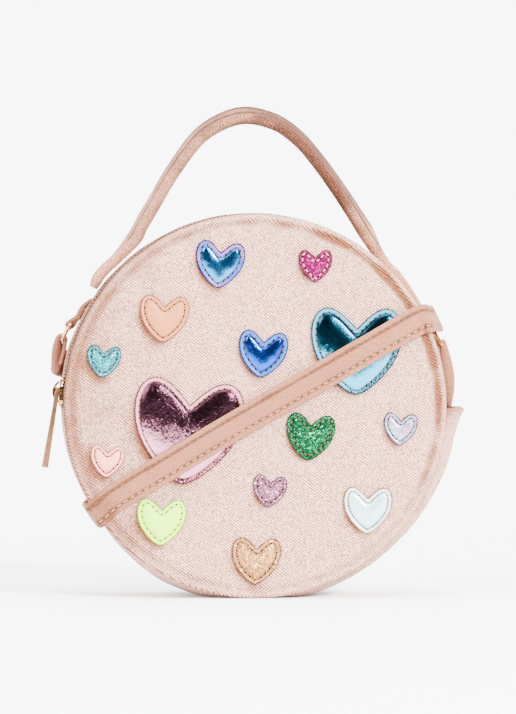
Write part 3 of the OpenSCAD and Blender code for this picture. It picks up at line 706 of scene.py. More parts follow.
@dataclass
class Panel:
    """A round velvet panel with a rolled rim."""
    side: int
    hearts: Sequence[HeartPlan] = ()
    turns: int = 256
    ring_step: float = 1.5
    flat_r: float = 78.0
    groove: tuple[float, ...] = (79.2, 80.2, 81.0, 81.8, 82.6, 83.4)
    rim: tuple[tuple[float, float], ...] = (
        (84.1, 0.05), (84.7, -0.15), (85.3, 0.0), (85.9, 0.45), (86.35, 1.2), (86.5, 2.0), (86.4, 2.8),
        (86.0, 3.45), (70.0, 3.4), (0.0, 3.4))

    def profile(self) -> list[tuple[float, float]]:
        """Returns: radius and depth from the middle of the face, round the rim, to the back."""
        face = SHAPE.half_depth
        rows = [(r * self.ring_step, face) for r in range(int(self.flat_r / self.ring_step) + 1)]
        rows += [(r, face - 0.9 * bell(r, 82.6, 1.3)) for r in self.groove]
        return rows + [(r, face - low) for r, low in self.rim]

    def build(self, shop: Workshop) -> None:
        """Spin the profile and shape the cloth."""
        bm = bmesh.new()
        nap, across = point_numbers(bm, "nap", "across")
        points = [bm.verts.new((r, -self.side * f, SHAPE.axis_h)) for r, f in self.profile()]
        edges = [bm.edges.new(pair) for pair in zip(points, points[1:])]
        bmesh.ops.spin(bm, geom=points + edges, cent=(0, 0, SHAPE.axis_h), axis=(0, 1, 0),
                       dvec=(0, 0, 0), angle=2 * math.pi, steps=self.turns, use_merge=True,
                       use_duplicate=False)
        bmesh.ops.remove_doubles(bm, verts=bm.verts, dist=WELD)
        verts = list(bm.verts)
        marks = self.marks(np.array([(v.co.x, v.co.z) for v in verts]))
        for vert, low, lying_shade_share in zip(verts, *marks):
            rel = vert.co - Vector((0, vert.co.y, SHAPE.axis_h))
            if -vert.co.y * self.side > SHAPE.half_depth - 1.0:
                soft = 0.22 * lumps(vert.co, 24.0, 5.0) + 0.08 * lumps(vert.co, 8.0)
                fade = min(1.0, max(0.0, (84 - rel.length) / 10))
                vert.co.y += self.side * (low - soft * fade)
            # painted shade: the shade at the hearts' lower left, in the rim's groove and growing towards
            # the left side, away from the key light, darkens the velvet
            vert[nap] = 0.8 * lying_shade_share + self.rim_groove_shade(rel) + 0.005 * max(0.0, -rel.x - 10)
            vert[across] = rib_place(vert.co.x, vert.co.z) + 0.45 * vert.co.y
        name = "front_panel" if self.side > 0 else "back_panel"
        made = shop.piece(name + "_velvet", bm, PANEL_VELVET, "panel_velvet", replaces=[name], sharp=70)

    def rim_groove_shade(self, rel: Vector) -> float:
        """Returns: how much painted shade darkens the groove inside the rim and the rim's outer edge,
        most at the top and upper right.
        """
        a = math.degrees(math.atan2(rel.z, rel.x))
        strong = 0.3 + 0.85 * bell(a, 32, 46)
        ragged = 0.9 + 0.5 * lumps(rel, 9.0)
        return strong * ragged * bell(rel.length, 82.8, 2.2) + 0.3 * bell(rel.length, 86.4, 0.8)

    def marks(self, flat: np.ndarray) -> tuple[np.ndarray, np.ndarray]:
        """Returns: how far the hearts dent the cloth, and the painted shade at their lower left."""
        dent = np.zeros(len(flat))
        heart_shade = np.zeros(len(flat))
        for plan in self.hearts:
            away = flat - np.array(plan.centre)
            far = np.linalg.norm(away, axis=1)
            near = far < plan.width * 0.75 + 9
            gap = edge_gap(flat[near], plan.tilted(plan.outline(64)))
            dent[near] = np.maximum(dent[near], 0.22 * np.exp(-gap / 1.2))
            way = away[near] / np.maximum(1e-6, far[near])[:, None]
            # painted shade: the cloth darkens beside each heart's lower left edge, the side away from
            # the light
            lower_left = np.clip(way @ np.array([-0.78, -0.62]), 0, 1) ** 1.5
            heart_shade[near] = np.maximum(heart_shade[near], np.exp(-(gap / 2.8) ** 1.5) * lower_left)
        return dent, heart_shade


@dataclass
class Gusset:
    """The velvet wall round the bag between two angles and two depths."""
    name: str
    start_a: float
    end_a: float
    low_f: float
    high_f: float
    swell: float
    gathered: bool = False
    turn_step: float = 1.5
    wall: float = 2.2
    rows: int = 26

    def from_end(self, a: float) -> float:
        """Returns: how many degrees a is from the nearer end."""
        return min(abs(a - self.start_a), abs(a - self.end_a))

    def bulge(self, a: float) -> float:
        """Returns: the swell at angle a: flat low on the left, fullest at the right end."""
        if not self.gathered:
            return self.swell
        swell = 0.2 + (self.swell - 0.2) * smooth((a - 212) / 34) + 2.2 * smooth((a - 315) / 35)
        return swell + 0.7 * bell(a, 325, 30) + 4.2 * math.exp(-(self.end_a - a) / 4)

    def skin(self, a: float, f: float) -> Vector:
        """Returns: a point of the outside."""
        across = f / SHAPE.gusset_half
        forward = 0.35 * across * math.cos(math.radians(a)) if self.gathered else 0.0
        gather = 0.45 * math.exp(-self.from_end(a) / 7) if self.gathered else 0.0
        r = SHAPE.edge_r + self.bulge(a) * (1 - abs(across) ** 2.4) * (1 + forward)
        where = SHAPE.at(r, a, f)
        uneven = gather * math.sin(f * 1.9 + 2 * lumps(where, 9.0))
        uneven += 0.35 * lumps(where, 14.0, 3.0) + 0.15 * lumps(where, 5.0)
        point = SHAPE.at(r + uneven * (1 - across ** 2), a, f)
        point.z = max(point.z, FLOOR_GAP)
        return point

    def build(self, shop: Workshop) -> None:
        """Make the wall as a bent sheet with two faces."""
        bm = bmesh.new()
        nap, across = point_numbers(bm, "nap", "across")
        steps = round((self.end_a - self.start_a) / self.turn_step)
        bmesh.ops.create_grid(bm, x_segments=steps, y_segments=self.rows, size=1.0)
        for vert in bm.verts:
            a = self.start_a + (vert.co.x + 1) / 2 * (self.end_a - self.start_a)
            f = self.low_f + (vert.co.y + 1) / 2 * (self.high_f - self.low_f)
            seam = math.exp(-(SHAPE.gusset_half - abs(f)) / 1.3)
            if self.high_f < SHAPE.gusset_half:
                seam = max(seam, math.exp(-(self.high_f - f) / 7))
            vert.co = self.skin(a, f)
            vert[across] = rib_place(math.radians(a) * SHAPE.edge_r, f)
            # painted shade: darker along the seams at both edges and, on the top strip, by the zip; the
            # wall is also darker near its ends and in random patches
            vert[nap] = (0.15 + 0.5 * seam + 0.3 * math.exp(-self.from_end(a) / 3)
                         + 0.3 * lumps(vert.co, 11.0))
        bmesh.ops.recalc_face_normals(bm, faces=bm.faces)
        first = next(iter(bm.faces))
        if first.normal.dot(first.calc_center_median() - Vector((0, 0, SHAPE.axis_h))) < 0:
            bmesh.ops.reverse_faces(bm, faces=bm.faces)
        bmesh.ops.solidify(bm, geom=bm.faces, thickness=self.wall)
        for vert in bm.verts:
            vert.co.z = max(vert.co.z, FLOOR_GAP)
        made = shop.piece(self.name + "_velvet", bm, GUSSET_VELVET, "gusset_velvet",
                          replaces=[self.name], sharp=70)


@dataclass
class StitchedStrip:
    """A padded strip of velvet, sewn with two rows of stitches, along a route."""
    name: str
    width: float
    thick: float
    seam_in: float
    route: list[Station]
    thick_at: Callable[[float], float]
    nap_shade_at: Callable[[float], float] = lambda share: 0.1
    steps: int = 4
    sink: bool = False

    def ring(self, thick: float) -> list[tuple[float, float, float]]:
        """Returns: the cross-section's points, across and up, with each one's painted shade, darkest in
        the stitch grooves.
        """
        half_w = self.width / 2
        seam = half_w - self.seam_in

        def crown(u: float) -> float:
            """Returns: how high the rounded edge leaves the cloth at u."""
            edge = min(1.0, (half_w - abs(u)) / min(1.1, thick * 0.45))
            return thick / 2 * math.sqrt(max(0.0, 1 - (1 - edge) ** 2))

        rows = []
        for k in range(23):
            u = -half_w + self.width * (0.5 - 0.5 * math.cos(math.pi * k / 22))
            groove = 0.12 * thick * bell(abs(u), seam, 0.55)
            puff = 0.10 * thick * (1 - (u / half_w) ** 2)
            rows.append((u, crown(u) + puff - groove - 0.05 * thick, bell(abs(u), seam, 0.7)))
        low = [half_w - self.width * k / 12 for k in range(1, 12)]
        return rows + [(u, -crown(u), 0.2) for u in low]

    def frames(self) -> list[tuple[Vector, Vector, Vector, float]]:
        """Returns: each station's centre, across and up, and its share of the length."""
        centres = smooth_line([s[0] for s in self.route], self.steps)
        outs = smooth_line([s[1] for s in self.route], self.steps)
        last = len(centres) - 1
        found = []
        for i, centre in enumerate(centres):
            along = (centres[min(i + 1, last)] - centres[max(i - 1, 0)]).normalized()
            across = along.cross(outs[i]).normalized()
            found.append((centre, across, across.cross(along).normalized(), i / last))
        return found

    def build(self, shop: Workshop, finish: object, slot: str, body: str = "bag",
              replaces: Sequence[str] = ()) -> list[bpy.types.Object]:
        """Make the strip and its stitches.

        Args: finish, slot, body and replaces say what they are.
        Returns: the strip, its two rows of thread and their needle holes."""
        bm = bmesh.new()
        nap, ribs = point_numbers(bm, "nap", "across")
        frames = self.frames()
        loops, marks, ups = [], [], []
        seams = {-1: [], 1: []}
        before, reach = frames[0][0], 0.0
        for centre, across, up, share in frames:
            reach += (centre - before).length
            before = centre
            thick = self.thick_at(share)
            if self.sink:
                centre = centre - up * ((thick - self.thick) / 2)
            rows = self.ring(thick)
            wave = 1 + 0.02 * lumps(centre, 13.0)
            loops.append([centre + across * (u * wave) + up * v for u, v, _ in rows])
            # painted shade: darkest in the stitch grooves, plus the shade and flattened pile given for
            # each place along the strip
            lying_shade = self.nap_shade_at(share)
            marks.append([(0.8 * dark + lying_shade, rib_place(reach, u)) for u, _, dark in rows])
            seam = (self.width / 2 - self.seam_in) * wave
            lift = min(rows, key=lambda row: abs(row[0] - seam))[1]
            ups.append(up)
            for side, line in seams.items():
                line.append(centre + across * (side * seam) + up * (lift + 0.12))
        for ring, values in zip(sweep(bm, loops), marks):
            for vert, (dark, rib) in zip(ring, values):
                vert[nap] = dark + 0.25 * lumps(vert.co, 7.0)
                vert[ribs] = rib
        pieces = [shop.piece(self.name, bm, finish, slot, body=body, replaces=replaces, sharp=80)]
        for side, row, thread in ((-1, "_lower", LOWER_THREAD), (1, "_upper", UPPER_THREAD)):
            stitches = Stitches(length=2.5, pitch=3.6, thread_r=0.2, hole_r=0.24)
            stitches.run(seams[side], ups)
            for kind, made, dress in (("_thread", stitches.thread, thread),
                                      ("_holes", stitches.holes, GROOVE_HOLE)):
                pieces.append(shop.piece(self.name + row + kind, made, dress, slot, body=body))
        return pieces


def round_bar(bar: Vector, a: float, way: int, r: float) -> list[Station]:
    """Returns: the stations of a strip round a ring's bar at angle a, r from the bar's middle."""
    turn = math.radians(a)
    found = []
    for k in range(-90, 91, 45):
        s, c = math.sin(math.radians(k)), math.cos(math.radians(k))
        out = Vector((math.cos(turn) * s - way * math.sin(turn) * c, 0,
                      math.sin(turn) * s + way * math.cos(turn) * c))
        found.append((bar + r * out, out))
    return found


@dataclass
class ShoulderStrap:
    """The long strap, wound round the bag between its two rings."""
    thick: float = 1.8
    full: float = 2.8
    puff: tuple[float, float] = (4.4, 6.4)
    puff_at: float = 0.122
    wrap_swell: float = 1.0
    ring_wire: float = 1.6
    ring_length: float = 8.2
    ring_width: float = 15.2
    ring_tilt: float = 6.0
    cross_r: float = 92.955
    layer_r: float = 90.632
    slack: float = 0.2
    on_skin: float = 0.6
    on_face: float = 0.3
    over_hearts: float = 2.9
    left_turn_a: float = 167.565
    right_turn_a: float = -0.663
    cross_a: float = 24.901
    low_a: float = 213.9
    front: tuple = ((0.86, 0.452, 0.1), (0.72, 0.376, 0.8), (0.45, 0.222, 1), (0.15, 0.05, 1),
                    (-0.15, -0.121, 1), (-0.45, -0.302, 1), (-0.62, -0.402, 0.8), (-0.74, -0.479, 0.3),
                    (-0.8, -0.53, 0))
    back_upper: tuple = ((-0.9, 0.19), (-0.72, 0.15), (-0.45, 0.12), (-0.1, 0.13), (0.25, 0.2),
                         (0.6, 0.315), (0.84, 0.412))
    back_lower: tuple = ((-0.79, -0.54), (-0.6, -0.43), (-0.3, -0.3), (0, -0.2), (0.35, -0.11),
                         (0.7, -0.05), (0.92, -0.02))

    def face(self, side: int, share: Sequence[float], lift: float) -> Station:
        """Returns: a station on the front or back face."""
        f = side * (SHAPE.half_depth + lift + self.thick / 2)
        place = Vector((share[0] * SHAPE.panel_r, -f, SHAPE.axis_h + share[1] * SHAPE.panel_r))
        return place, Vector((0, -side, 0))

    def above(self, r: float, a: float, f: float) -> Station:
        """Returns: a station whose inner side is at radius r."""
        return SHAPE.at(r + self.thick / 2, a, f), SHAPE.out(a)

    def skin(self, a: float, f: float, layers: float = 1, swell: float = SHAPE.top_swell) -> Station:
        """Returns: a station on the gusset, with some layers of cloth under it."""
        return self.above(SHAPE.skin_r(f, swell) + layers * self.on_skin, a, f)

    def rim(self, side: int, a: float) -> Station:
        """Returns: a station on the rim, facing out at 45 degrees."""
        half = self.thick / 2
        return SHAPE.at(SHAPE.panel_r + half, a, side * (SHAPE.half_depth + half)), SHAPE.out(a, side)

    def loop(self, a: float, way: int) -> list[Station]:
        """Returns: the stations round a ring's outer bar."""
        turn = math.radians(a + way * self.ring_tilt)
        bar = SHAPE.at(SHAPE.ring_r, a, -SHAPE.handle_back)
        bar += way * self.ring_length * Vector((math.sin(turn), 0, -math.cos(turn)))
        return round_bar(bar, a, way, self.ring_wire / 2 + self.slack + self.thick / 2)

    def turn_behind(self, a: float, way: int, reach: float) -> list[Station]:
        """Returns: the stations of a turn from along the gusset to across it and over the rim."""
        turn = []
        for rise, along, back in ((1, 1, 1.1), (0.4, 0.45, 1.35), (0, 0.1, 1.75)):
            r = self.layer_r + rise * self.thick
            turn.append(self.above(r, a + way * reach * along, -SHAPE.handle_back * back))
        return turn + [self.skin(a, -SHAPE.gusset_half, 2), self.rim(-1, a)]

    def inner(self, a: float) -> Station:
        """Returns: a station of the sewn end under the strap."""
        place, out = self.skin(a, -SHAPE.handle_back)
        return place, -out

    def route(self) -> list[Station]:
        """Returns: all the strap's stations, from its left end to its right end."""
        back, half, cross, low = -SHAPE.handle_back, SHAPE.gusset_half, self.cross_a, self.low_a
        left, right = SHAPE.left_ring_a, SHAPE.right_ring_a
        route = [self.inner(left + 12), self.inner(left + 8)] + self.loop(left, -1)
        route += self.turn_behind(self.left_turn_a, -1, 3.6)
        route += [self.face(-1, s, self.on_face) for s in self.back_upper]
        route += [self.rim(-1, cross + 0.5), self.skin(cross + 0.4, -half, 3)]
        route += [self.above(self.cross_r, cross, back + k * self.ring_width / 2) for k in (-1, 0, 1)]
        route += [self.skin(cross + 0.4, half / 4, 5), self.skin(cross + 1.2, 14.0, 2),
                  self.skin(cross + 1.8, half, 2), self.rim(1, cross + 2)]
        rise = self.over_hearts - self.on_face
        route += [self.face(1, s, self.on_face + s[2] * rise) for s in self.front] + [self.rim(1, low)]
        route += [self.skin(low + (half - f) / 50, f, swell=self.wrap_swell)
                  for f in (half, half / 2, 0, -half / 2, -half)]
        route += [self.rim(-1, low + 1)] + [self.face(-1, s, self.on_face) for s in self.back_lower]
        route += self.turn_behind(self.right_turn_a, 1, 6.5)[::-1]
        route += [self.above(self.layer_r + 1.3 * self.thick, self.right_turn_a + 11, back)]
        return route + self.loop(right, 1)[::-1] + [self.inner(right - 8), self.inner(right - 12)]

    def thickness(self, share: float) -> float:
        """Returns: the strap's thickness at a share of its length, fuller where it turns behind."""
        from_end = min(share, 1 - share)
        in_loop = (self.full - self.thick) * bell(from_end, 0.062, 0.02)
        puff = self.puff[share > 0.5]
        return self.thick + max(in_loop, (puff - self.thick) * bell(from_end, self.puff_at, 0.026, 4))

    def lying_shade(self, share: float) -> float:
        """Returns: how much painted shade and flattened pile darken the strap at a share of its length,
        with the shade most in the fold of the low wrap.
        """
        return 0.1 + 0.4 * bell(share, 0.575, 0.02)

    def build(self, shop: Workshop) -> None:
        """Make the strap and its stitches."""
        strip = StitchedStrip("shoulder_strap_velvet", SHAPE.strap_w, self.thick, 2.8, self.route(),
                              self.thickness, self.lying_shade, sink=True)
        strip.build(shop, STRAP_VELVET, "strap_velvet", replaces=["shoulder_strap"])


@dataclass
class CarryHandle:
    """The carry handle, one strip from its left sewn end over the arch to its right one."""
    width: float = 12.5
    thick: float = 4.9
    flat_thick: float = 3.2
    lean: float = 23.0
    pivot_y: float = 4.874
    pivot_h: float = 85.2
    bend: float = 7.0
    reach: tuple[float, float] = (48.2, 54.2)
    rise: float = 49.9
    twist: float = -0.2
    left_lift: float = 1.6
    arch: tuple = ((-1.0975, -0.179), (-1.031, -0.041), (-0.923, 0.155), (-0.75, 0.47), (-0.487, 0.827),
                   (-0.147, 1), (0.148, 0.955), (0.362, 0.8), (0.55, 0.564), (0.747, 0.262),
                   (0.88, 0.04), (0.99, -0.15))
    left_end: tuple = ((143.3, 0.2), (140, 0.9), (136.5, 1.0), (133, 0.8))
    right_end: tuple = (46.5, 42, 38, 34.5, 31.8, 30.5)

    def arch_place(self, share: Sequence[float], turn: float) -> Vector:
        """Returns: a point of the arch's middle line, in the plane that is turned back."""
        x, y = share[0] * self.reach[share[0] > 0], share[1] * self.rise
        high = SHAPE.axis_h + self.pivot_h
        return Vector((x, self.pivot_y + y * math.cos(turn), high + y * math.sin(turn)))

    def route(self) -> list[Station]:
        """Returns: the stations, with the way out of the strip at each."""
        skin = SHAPE.skin_r(SHAPE.handle_back, SHAPE.top_swell) + 0.15 + self.flat_thick / 2
        back = -SHAPE.handle_back
        turn = math.radians(90 + self.lean)
        flat = Vector((0, -1, 0))
        wide = [(SHAPE.at(skin + self.left_lift * k, a, back), flat) for a, k in self.left_end]
        wide += [(self.arch_place(share, turn),
                  Vector((self.twist * max(0.0, share[0]), -math.sin(turn), math.cos(turn))))
                 for share in self.arch]
        wide += [(SHAPE.at(skin, a, back), flat) for a in self.right_end]
        last = len(wide) - 1
        route = []
        for i, (place, width) in enumerate(wide):
            along = (wide[min(i + 1, last)][0] - wide[max(i - 1, 0)][0]).normalized()
            out = width.cross(along).normalized()
            if out.z < 0 and abs(out.z) > 0.2:
                out.negate()
            route.append((place, out))
        return route

    def thickness(self, share: float) -> float:
        """Returns: the strip's thickness at a share of its length."""
        full = min(1.0, share / 0.03) if share < 0.5 else smooth((1 - share - 0.05) / 0.16)
        return self.flat_thick + (self.thick - self.flat_thick) * full

    def lying_shade(self, share: float) -> float:
        """Returns: how much painted shade darkens the handle at a share of its length, most over the
        top.
        """
        return 0.05 + 0.8 * bell(share, 0.53, 0.16)

    def build(self, shop: Workshop) -> None:
        """Make the handle on no body and bake its place into its mesh."""
        strip = StitchedStrip("carry_handle_velvet", self.width, self.thick, 3.1, self.route(),
                              self.thickness, self.lying_shade, steps=6)
        pieces = strip.build(shop, HANDLE_VELVET, "handle_velvet", body="",
                             replaces=["carry_handle", "handle_tab_left", "handle_tab_right"])
        for piece in pieces:
            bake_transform(piece)


@dataclass
class RingTab:
    """The velvet tab that holds one strap ring."""
    name: str
    ring_a: float
    inwards: int
    layer: float = 1.1
    length: float = 10.0
    bar_gap: float = 1.1

    def thickness(self, share: float) -> float:
        """Returns: the tab's thickness at a share of its length, fullest on its outer side."""
        return self.layer + 1.5 * bell(share, 0.72, 0.26, 4)

    def on_skin(self, share: float, lift: float, side: int) -> Station:
        """Returns: a station over the top strip, a share of the tab's length from the ring."""
        a = self.ring_a + math.degrees(self.length / SHAPE.ring_r) * self.inwards * share
        r = SHAPE.skin_r(SHAPE.handle_back, SHAPE.top_swell) + lift
        return SHAPE.at(r, a, -SHAPE.handle_back), side * SHAPE.out(a)

    def build(self, shop: Workshop) -> None:
        """Make the tab as a strip that goes round the ring's inner bar and back."""
        outer, inner = 0.15 + 1.5 * self.layer, 0.15 + 0.5 * self.layer
        bar = SHAPE.at(SHAPE.ring_r, self.ring_a, -SHAPE.handle_back)
        route = [self.on_skin(share, inner, -1) for share in (1.0, 0.66, 0.33)]
        route += round_bar(bar, self.ring_a, -self.inwards, self.bar_gap + self.layer / 2)
        route += [self.on_skin(share, lift, 1)
                  for share, lift in ((0.45, outer), (0.75, outer), (1.05, 0.8 * outer), (1.5, -0.2))]
        strip = StitchedStrip(self.name + "_velvet", SHAPE.strap_w, self.layer, 1.6, route,
                              self.thickness, steps=3, sink=True)
        strip.build(shop, STRAP_VELVET, "strap_velvet", replaces=[self.name])


@dataclass
class FullMetal:
    """A small metal piece, a little fuller than its plain solid outside a radius."""
    node: str
    body: str
    finish: Metal
    swell: float
    beyond_r: float = 0.0

    def build(self, shop: Workshop) -> None:
        """Copy the solid's shape and move its outer skin outwards."""
        bm = bmesh.new()
        bm.from_mesh(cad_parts[self.node].data)
        bmesh.ops.scale(bm, vec=(1 / MM, 1 / MM, 1 / MM), verts=bm.verts)
        bmesh.ops.remove_doubles(bm, verts=bm.verts, dist=1e-3)
        bm.normal_update()
        for vert in bm.verts:
            far = math.hypot(vert.co.x, vert.co.z - SHAPE.axis_h) - self.beyond_r
            vert.co += vert.normal * (self.swell * min(1.0, max(0.0, far)))
        shop.piece(self.node + "_metal", bm, self.finish, "slider_metal", body=self.body,
                   replaces=[self.node], sharp=35)


@dataclass
class Studio:
    """The camera, the pale floor with its back wall, and soft light."""
    width_mm: float = 232.2
    distance: float = 1800.0
    azimuth: float = -4.3
    elevation: float = 0.6
    aim: tuple[float, float, float] = (0.9, -25.0, 108.8)
    glow: float = 1.6
    low_glow: float = 0.2
    wide: float = 4000.0
    front_y: float = -620.0
    curve_y: float = 600.0
    curve_r: float = 700.0
    sky: tuple[tuple[float, Colour], ...] = (
        (0.0, (0.006, 0.006, 0.006)), (1.0, (1.0, 1.0, 1.0)), (0.3, (0.006, 0.006, 0.00612)),
        (0.7, (0.008, 0.008, 0.00816)), (0.86, (0.35, 0.35, 0.357)))

    def camera(self) -> None:
        """Place the camera as in the photograph."""
        data = bpy.data.cameras.new("photo_camera")
        data.sensor_fit = "HORIZONTAL"
        data.lens = data.sensor_width * self.distance / self.width_mm
        data.clip_end = 100.0
        made = hang("photo_camera", data)
        a, e = math.radians(self.azimuth), math.radians(self.elevation)
        back = Vector((math.sin(a) * math.cos(e), -math.cos(a) * math.cos(e), math.sin(e)))
        target = Vector(self.aim) * MM
        made.location = target + back * self.distance * MM
        made.rotation_euler = (-back).to_track_quat("-Z", "Y").to_euler()
        bpy.context.scene.camera = made

    def floor(self) -> None:
        """Lay the floor and curve it up into the back wall."""
        bm = bmesh.new()
        profile = [(self.front_y, 0.0), (self.curve_y, 0.0)]
        for k in range(1, 13):
            turn = math.pi / 2 * k / 12
            profile.append((self.curve_y + self.curve_r * math.sin(turn),
                            self.curve_r - self.curve_r * math.cos(turn)))
        profile.append((self.curve_y + self.curve_r, self.wide))
        points = [bm.verts.new((-self.wide, y, z)) for y, z in profile]
        edges = [bm.edges.new(pair) for pair in zip(points, points[1:])]
        wide = bmesh.ops.extrude_edge_only(bm, edges=edges)
        moved = [item for item in wide["geom"] if isinstance(item, bmesh.types.BMVert)]
        bmesh.ops.translate(bm, verts=moved, vec=(2 * self.wide, 0, 0))
        bm.normal_update()
        if min(bm.faces, key=lambda face: face.calc_center_median().z).normal.z < 0:
            bmesh.ops.reverse_faces(bm, faces=bm.faces)
        mesh = smooth_mesh("floor", bm)
        shop = Shop("pale_floor")
        where = shop.place()
        colour = shop.mix(shop.noise(where, 400.0), (0.86, 0.865, 0.88), (0.88, 0.885, 0.90))
        far = shop.split(where)[1].ease(150.0, 900.0)
        light = shop.mix(far, part_of(self.low_glow / self.glow, (1.0, 1.0, 1.0)), (1.0, 1.0, 1.0))
        front = 1 - shop.node("NewGeometry", out="Backfacing")
        mesh.materials.append(shop.done(Base_Color=colour, Roughness=0.9, Emission_Color=light,
                                        Emission_Strength=self.glow, Alpha=front))
        hang("floor", mesh)

    def light(self, name: str, place: Sequence[float], size: float, power: float) -> None:
        """Hang one soft square light that points at the bag."""
        data = bpy.data.lights.new(name, "AREA")
        data.size = size * MM
        data.energy = power
        made = hang(name, data)
        made.location = Vector(place) * MM
        way = Vector((0, 0, 90)) * MM - made.location
        made.rotation_euler = way.to_track_quat("-Z", "Y").to_euler()

    def world(self) -> None:
        """Surround the bag with a dark room and a bright ceiling."""
        shop = Shop("studio", bpy.data.worlds)
        bpy.context.scene.world = shop.owner
        up = shop.split(shop.node("TexCoord", out="Generated"))[2]
        colour = shop.node("ValToRGB", {"stops": self.sky}, {0: up})
        glow = shop.node("Background", inputs={"Color": colour, "Strength": 6.0})
        shop.node("OutputWorld", inputs={"Surface": glow})

    def build(self) -> None:
        """Set up camera, floor, lights and world."""
        self.camera()
        self.floor()
        self.world()
        self.light("key", (1200, -1600, 1150), 520, 310)
        self.light("fill", (-1500, -1100, 1100), 900, 100)
        self.light("top", (0, -150, 1700), 1500, 95)


PANEL_VELVET = Velvet("panel_velvet_cloth")
GUSSET_VELVET = Velvet("gusset_velvet_cloth", rib_share=0.3)
HANDLE_VELVET = Velvet("handle_velvet_cloth", light=(0.66, 0.33, 0.20), middle=(0.23, 0.09, 0.052),
                       lying_shade=(0.15, 0.056, 0.030), dark=(0.04, 0.010, 0.005), rib=0.8, rib_share=0.3)
STRAP_VELVET = Velvet("strap_velvet_cloth", light=(0.35, 0.148, 0.086), middle=(0.21, 0.08, 0.044),
                      lying_shade=(0.14, 0.050, 0.025), dark=(0.08, 0.026, 0.012), rib=0.8, rib_share=0.3,
                      patch_share=0.2)
UPPER_THREAD = Thread("brown_thread", (0.16, 0.075, 0.04))
LOWER_THREAD = Thread("cream_thread", (0.55, 0.33, 0.17))
HEART_THREAD = Thread("heart_thread", (0.13, 0.072, 0.04))
YELLOW_THREAD = Thread("yellow_thread", (0.70, 0.42, 0.14))
# painted shade: near-black buttons stand for the shade inside the hearts' needle holes and the strips'
# stitch holes
HOLE = Thread("needle_hole", (0.006, 0.003, 0.003))
GROOVE_HOLE = Thread("groove_hole", (0.06, 0.022, 0.012))
GOLD = Metal("gold_plate", (0.58, 0.31, 0.12), 0.16)
ROSE_GOLD = Metal("rose_gold_plate", (0.34, 0.145, 0.07), 0.32)
TEETH_GOLD = Metal("teeth_gold", (0.22, 0.09, 0.035), 0.34)
TAPE = Woven("zip_tape_weave", (0.20, 0.075, 0.045))
LINING = Woven("lining_weave", (0.50, 0.36, 0.28), 0.4)
BOARD = Board("pressed_board", (0.30, 0.20, 0.12))


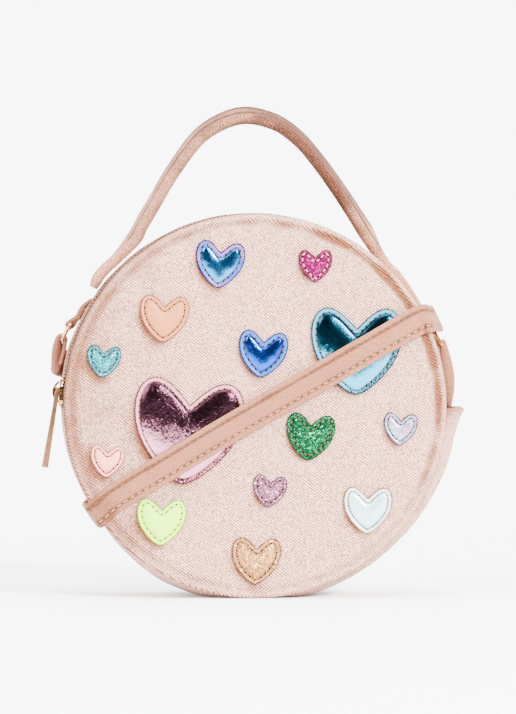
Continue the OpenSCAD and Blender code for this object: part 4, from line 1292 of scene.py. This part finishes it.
def heart_plans() -> list[HeartPlan]:
    """Returns: the fourteen hearts."""
    def plan(name: str, kind: Cloth, width: float, puff: float, share: tuple[float, float], tilt: float,
             slot: str, border: Colour, middle: Colour, **more: object) -> HeartPlan:
        """Returns: one heart's plan."""
        thread = more.pop("thread", HEART_THREAD)
        cloth = HeartCloth(slot, kind, border, middle, **more)
        return HeartPlan("heart_" + name, width, puff, share, tilt, cloth, thread)

    big, wide, mid, small = 49.5, 41.4, 22.2, 15.3
    foil, glitter, satin, pearl = Cloth.FOIL, Cloth.GLITTER, Cloth.SATIN, Cloth.PEARL
    return [
        plan("violet", foil, mid, 1.4, (-0.19, 0.736), -6, "violet_foil", (0.03, 0.08, 0.42),
             (0.03, 0.20, 0.42), edge=(0.001, 0.001, 0.006), shade=(0.003, 0.02, 0.09), crease=0.4,
             speck=(0.3, 0.3, 0.9), tint=(0.16, 0.10, 0.36), lobe_share=0.6),
        plan("magenta", glitter, small, 0.9, (0.31, 0.731), 0, "magenta_glitter", (0.11, 0.0002, 0.042),
             (0.10, 0.0002, 0.038), edge=(0.03, 0.001, 0.008), speck=(0.42, 0.002, 0.22),
             thread=YELLOW_THREAD),
        plan("peach", satin, mid, 1.2, (-0.479, 0.455), -4, "peach_satin", (0.46, 0.145, 0.054),
             (0.45, 0.145, 0.055), edge=(0.05, 0.012, 0.006)),
        plan("teal", glitter, small, 0.9, (-0.793, 0.234), -6, "teal_glitter", (0.006, 0.17, 0.22),
             (0.006, 0.17, 0.19), edge=(0.003, 0.03, 0.04), speck=(0.10, 0.6, 0.7)),
        plan("royal", foil, mid, 1.4, (0.034, 0.271), -6, "royal_foil", (0.02, 0.11, 0.42),
             (0.012, 0.07, 0.38), edge=(0.001, 0.004, 0.02), shade=(0.004, 0.014, 0.09), crease=0.35,
             speck=(0.004, 0.02, 0.10), lobe_share=0.65),
        plan("aqua", foil, wide, 2.0, (0.5255, 0.286), -1, "aqua_foil", (0.04, 0.26, 0.38),
             (0.04, 0.32, 0.48), edge=(0.002, 0.010, 0.015), shade=(0.003, 0.016, 0.028), crease=0.3,
             speck=(0.004, 0.02, 0.03), lobe_share=0.97, band=(0.003, 0.02, 0.03)),
        plan("pink", foil, big, 2.0, (-0.359, -0.133), -6, "pink_foil", (0.60, 0.20, 0.27),
             (0.58, 0.23, 0.33), edge=(0.02, 0.006, 0.010), shade=(0.014, 0.004, 0.007), crease=0.9,
             speck=(0.08, 0.02, 0.03), lobe_share=0.96, band=(0.07, 0.008, 0.014)),
        plan("green", glitter, mid, 1.2, (0.281, -0.161), -6, "green_glitter", (0.0002, 0.042, 0.013),
             (0.0002, 0.038, 0.012), edge=(0.001, 0.012, 0.004), speck=(0.008, 0.32, 0.11)),
        plan("pearl", pearl, small, 0.9, (0.754, -0.12), -5, "pearl_foil", (0.26, 0.16, 0.30),
             (0.34, 0.14, 0.28), edge=(0.03, 0.016, 0.04), speck=(0.20, 0.52, 0.56)),
        plan("blush", satin, small, 0.9, (-0.775, -0.2835), -5, "blush_satin", (0.80, 0.27, 0.20),
             (0.80, 0.26, 0.19), edge=(0.08, 0.02, 0.014)),
        plan("lilac", glitter, small, 0.9, (0.07, -0.442), -7, "lilac_glitter", (0.18, 0.065, 0.11),
             (0.18, 0.06, 0.10), edge=(0.04, 0.012, 0.03), speck=(0.7, 0.4, 0.55)),
        plan("white", pearl, mid, 1.2, (0.583, -0.544), -2, "white_foil", (0.60, 0.64, 0.66),
             (0.34, 0.62, 0.76), edge=(0.10, 0.05, 0.02), speck=(0.6, 0.7, 0.6)),
        plan("lime", satin, mid, 1.2, (-0.494, -0.601), -3, "lime_satin", (0.40, 0.84, 0.012),
             (0.40, 0.86, 0.012), edge=(0.08, 0.09, 0.01), thread=YELLOW_THREAD),
        plan("gold", glitter, mid, 1.2, (0, -0.806), -3, "gold_glitter", (0.36, 0.16, 0.06),
             (0.34, 0.15, 0.055), edge=(0.05, 0.02, 0.008), speck=(0.9, 0.5, 0.22)),
    ]


def main() -> None:
    """Build the studio and the bag in order."""
    logging.basicConfig(level=logging.INFO, format="%(name)s: %(message)s")
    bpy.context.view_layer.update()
    Studio().build()
    shop = Workshop()
    plans = heart_plans()
    Panel(1, plans).build(shop)
    Panel(-1).build(shop)
    half = SHAPE.gusset_half
    Gusset("lower_gusset", 180.5, 359.0, -half, half, SHAPE.low_swell, gathered=True,
           turn_step=1.2).build(shop)
    Gusset("top_gusset", -1.0, 180.5, -half, 7.0, SHAPE.top_cloth_swell).build(shop)
    for plan in plans:
        PaddedHeart(plan).build(shop)
    ShoulderStrap().build(shop)
    CarryHandle().build(shop)
    RingTab("strap_tab_left", SHAPE.left_ring_a, -1).build(shop)
    RingTab("strap_tab_right", SHAPE.right_ring_a, 1).build(shop)
    FullMetal("zip_pull", "pull", ROSE_GOLD, 0.5).build(shop)
    FullMetal("zip_slider", "slider", GOLD, 0.35, 90.2).build(shop)
    kept = {"front_board": BOARD, "back_board": BOARD, "front_lining": LINING, "back_lining": LINING,
            "lower_gusset_lining": LINING, "top_gusset_lining": LINING, "zip_tape_front": TAPE,
            "zip_tape_rear": TAPE, "zip_teeth_front": TEETH_GOLD, "zip_teeth_rear": TEETH_GOLD,
            "zip_stops": TEETH_GOLD, "strap_ring_left": GOLD, "strap_ring_right": GOLD}
    for node, finish in kept.items():
        shop.dress(node, finish)


if __name__ == "__main__":
    main()
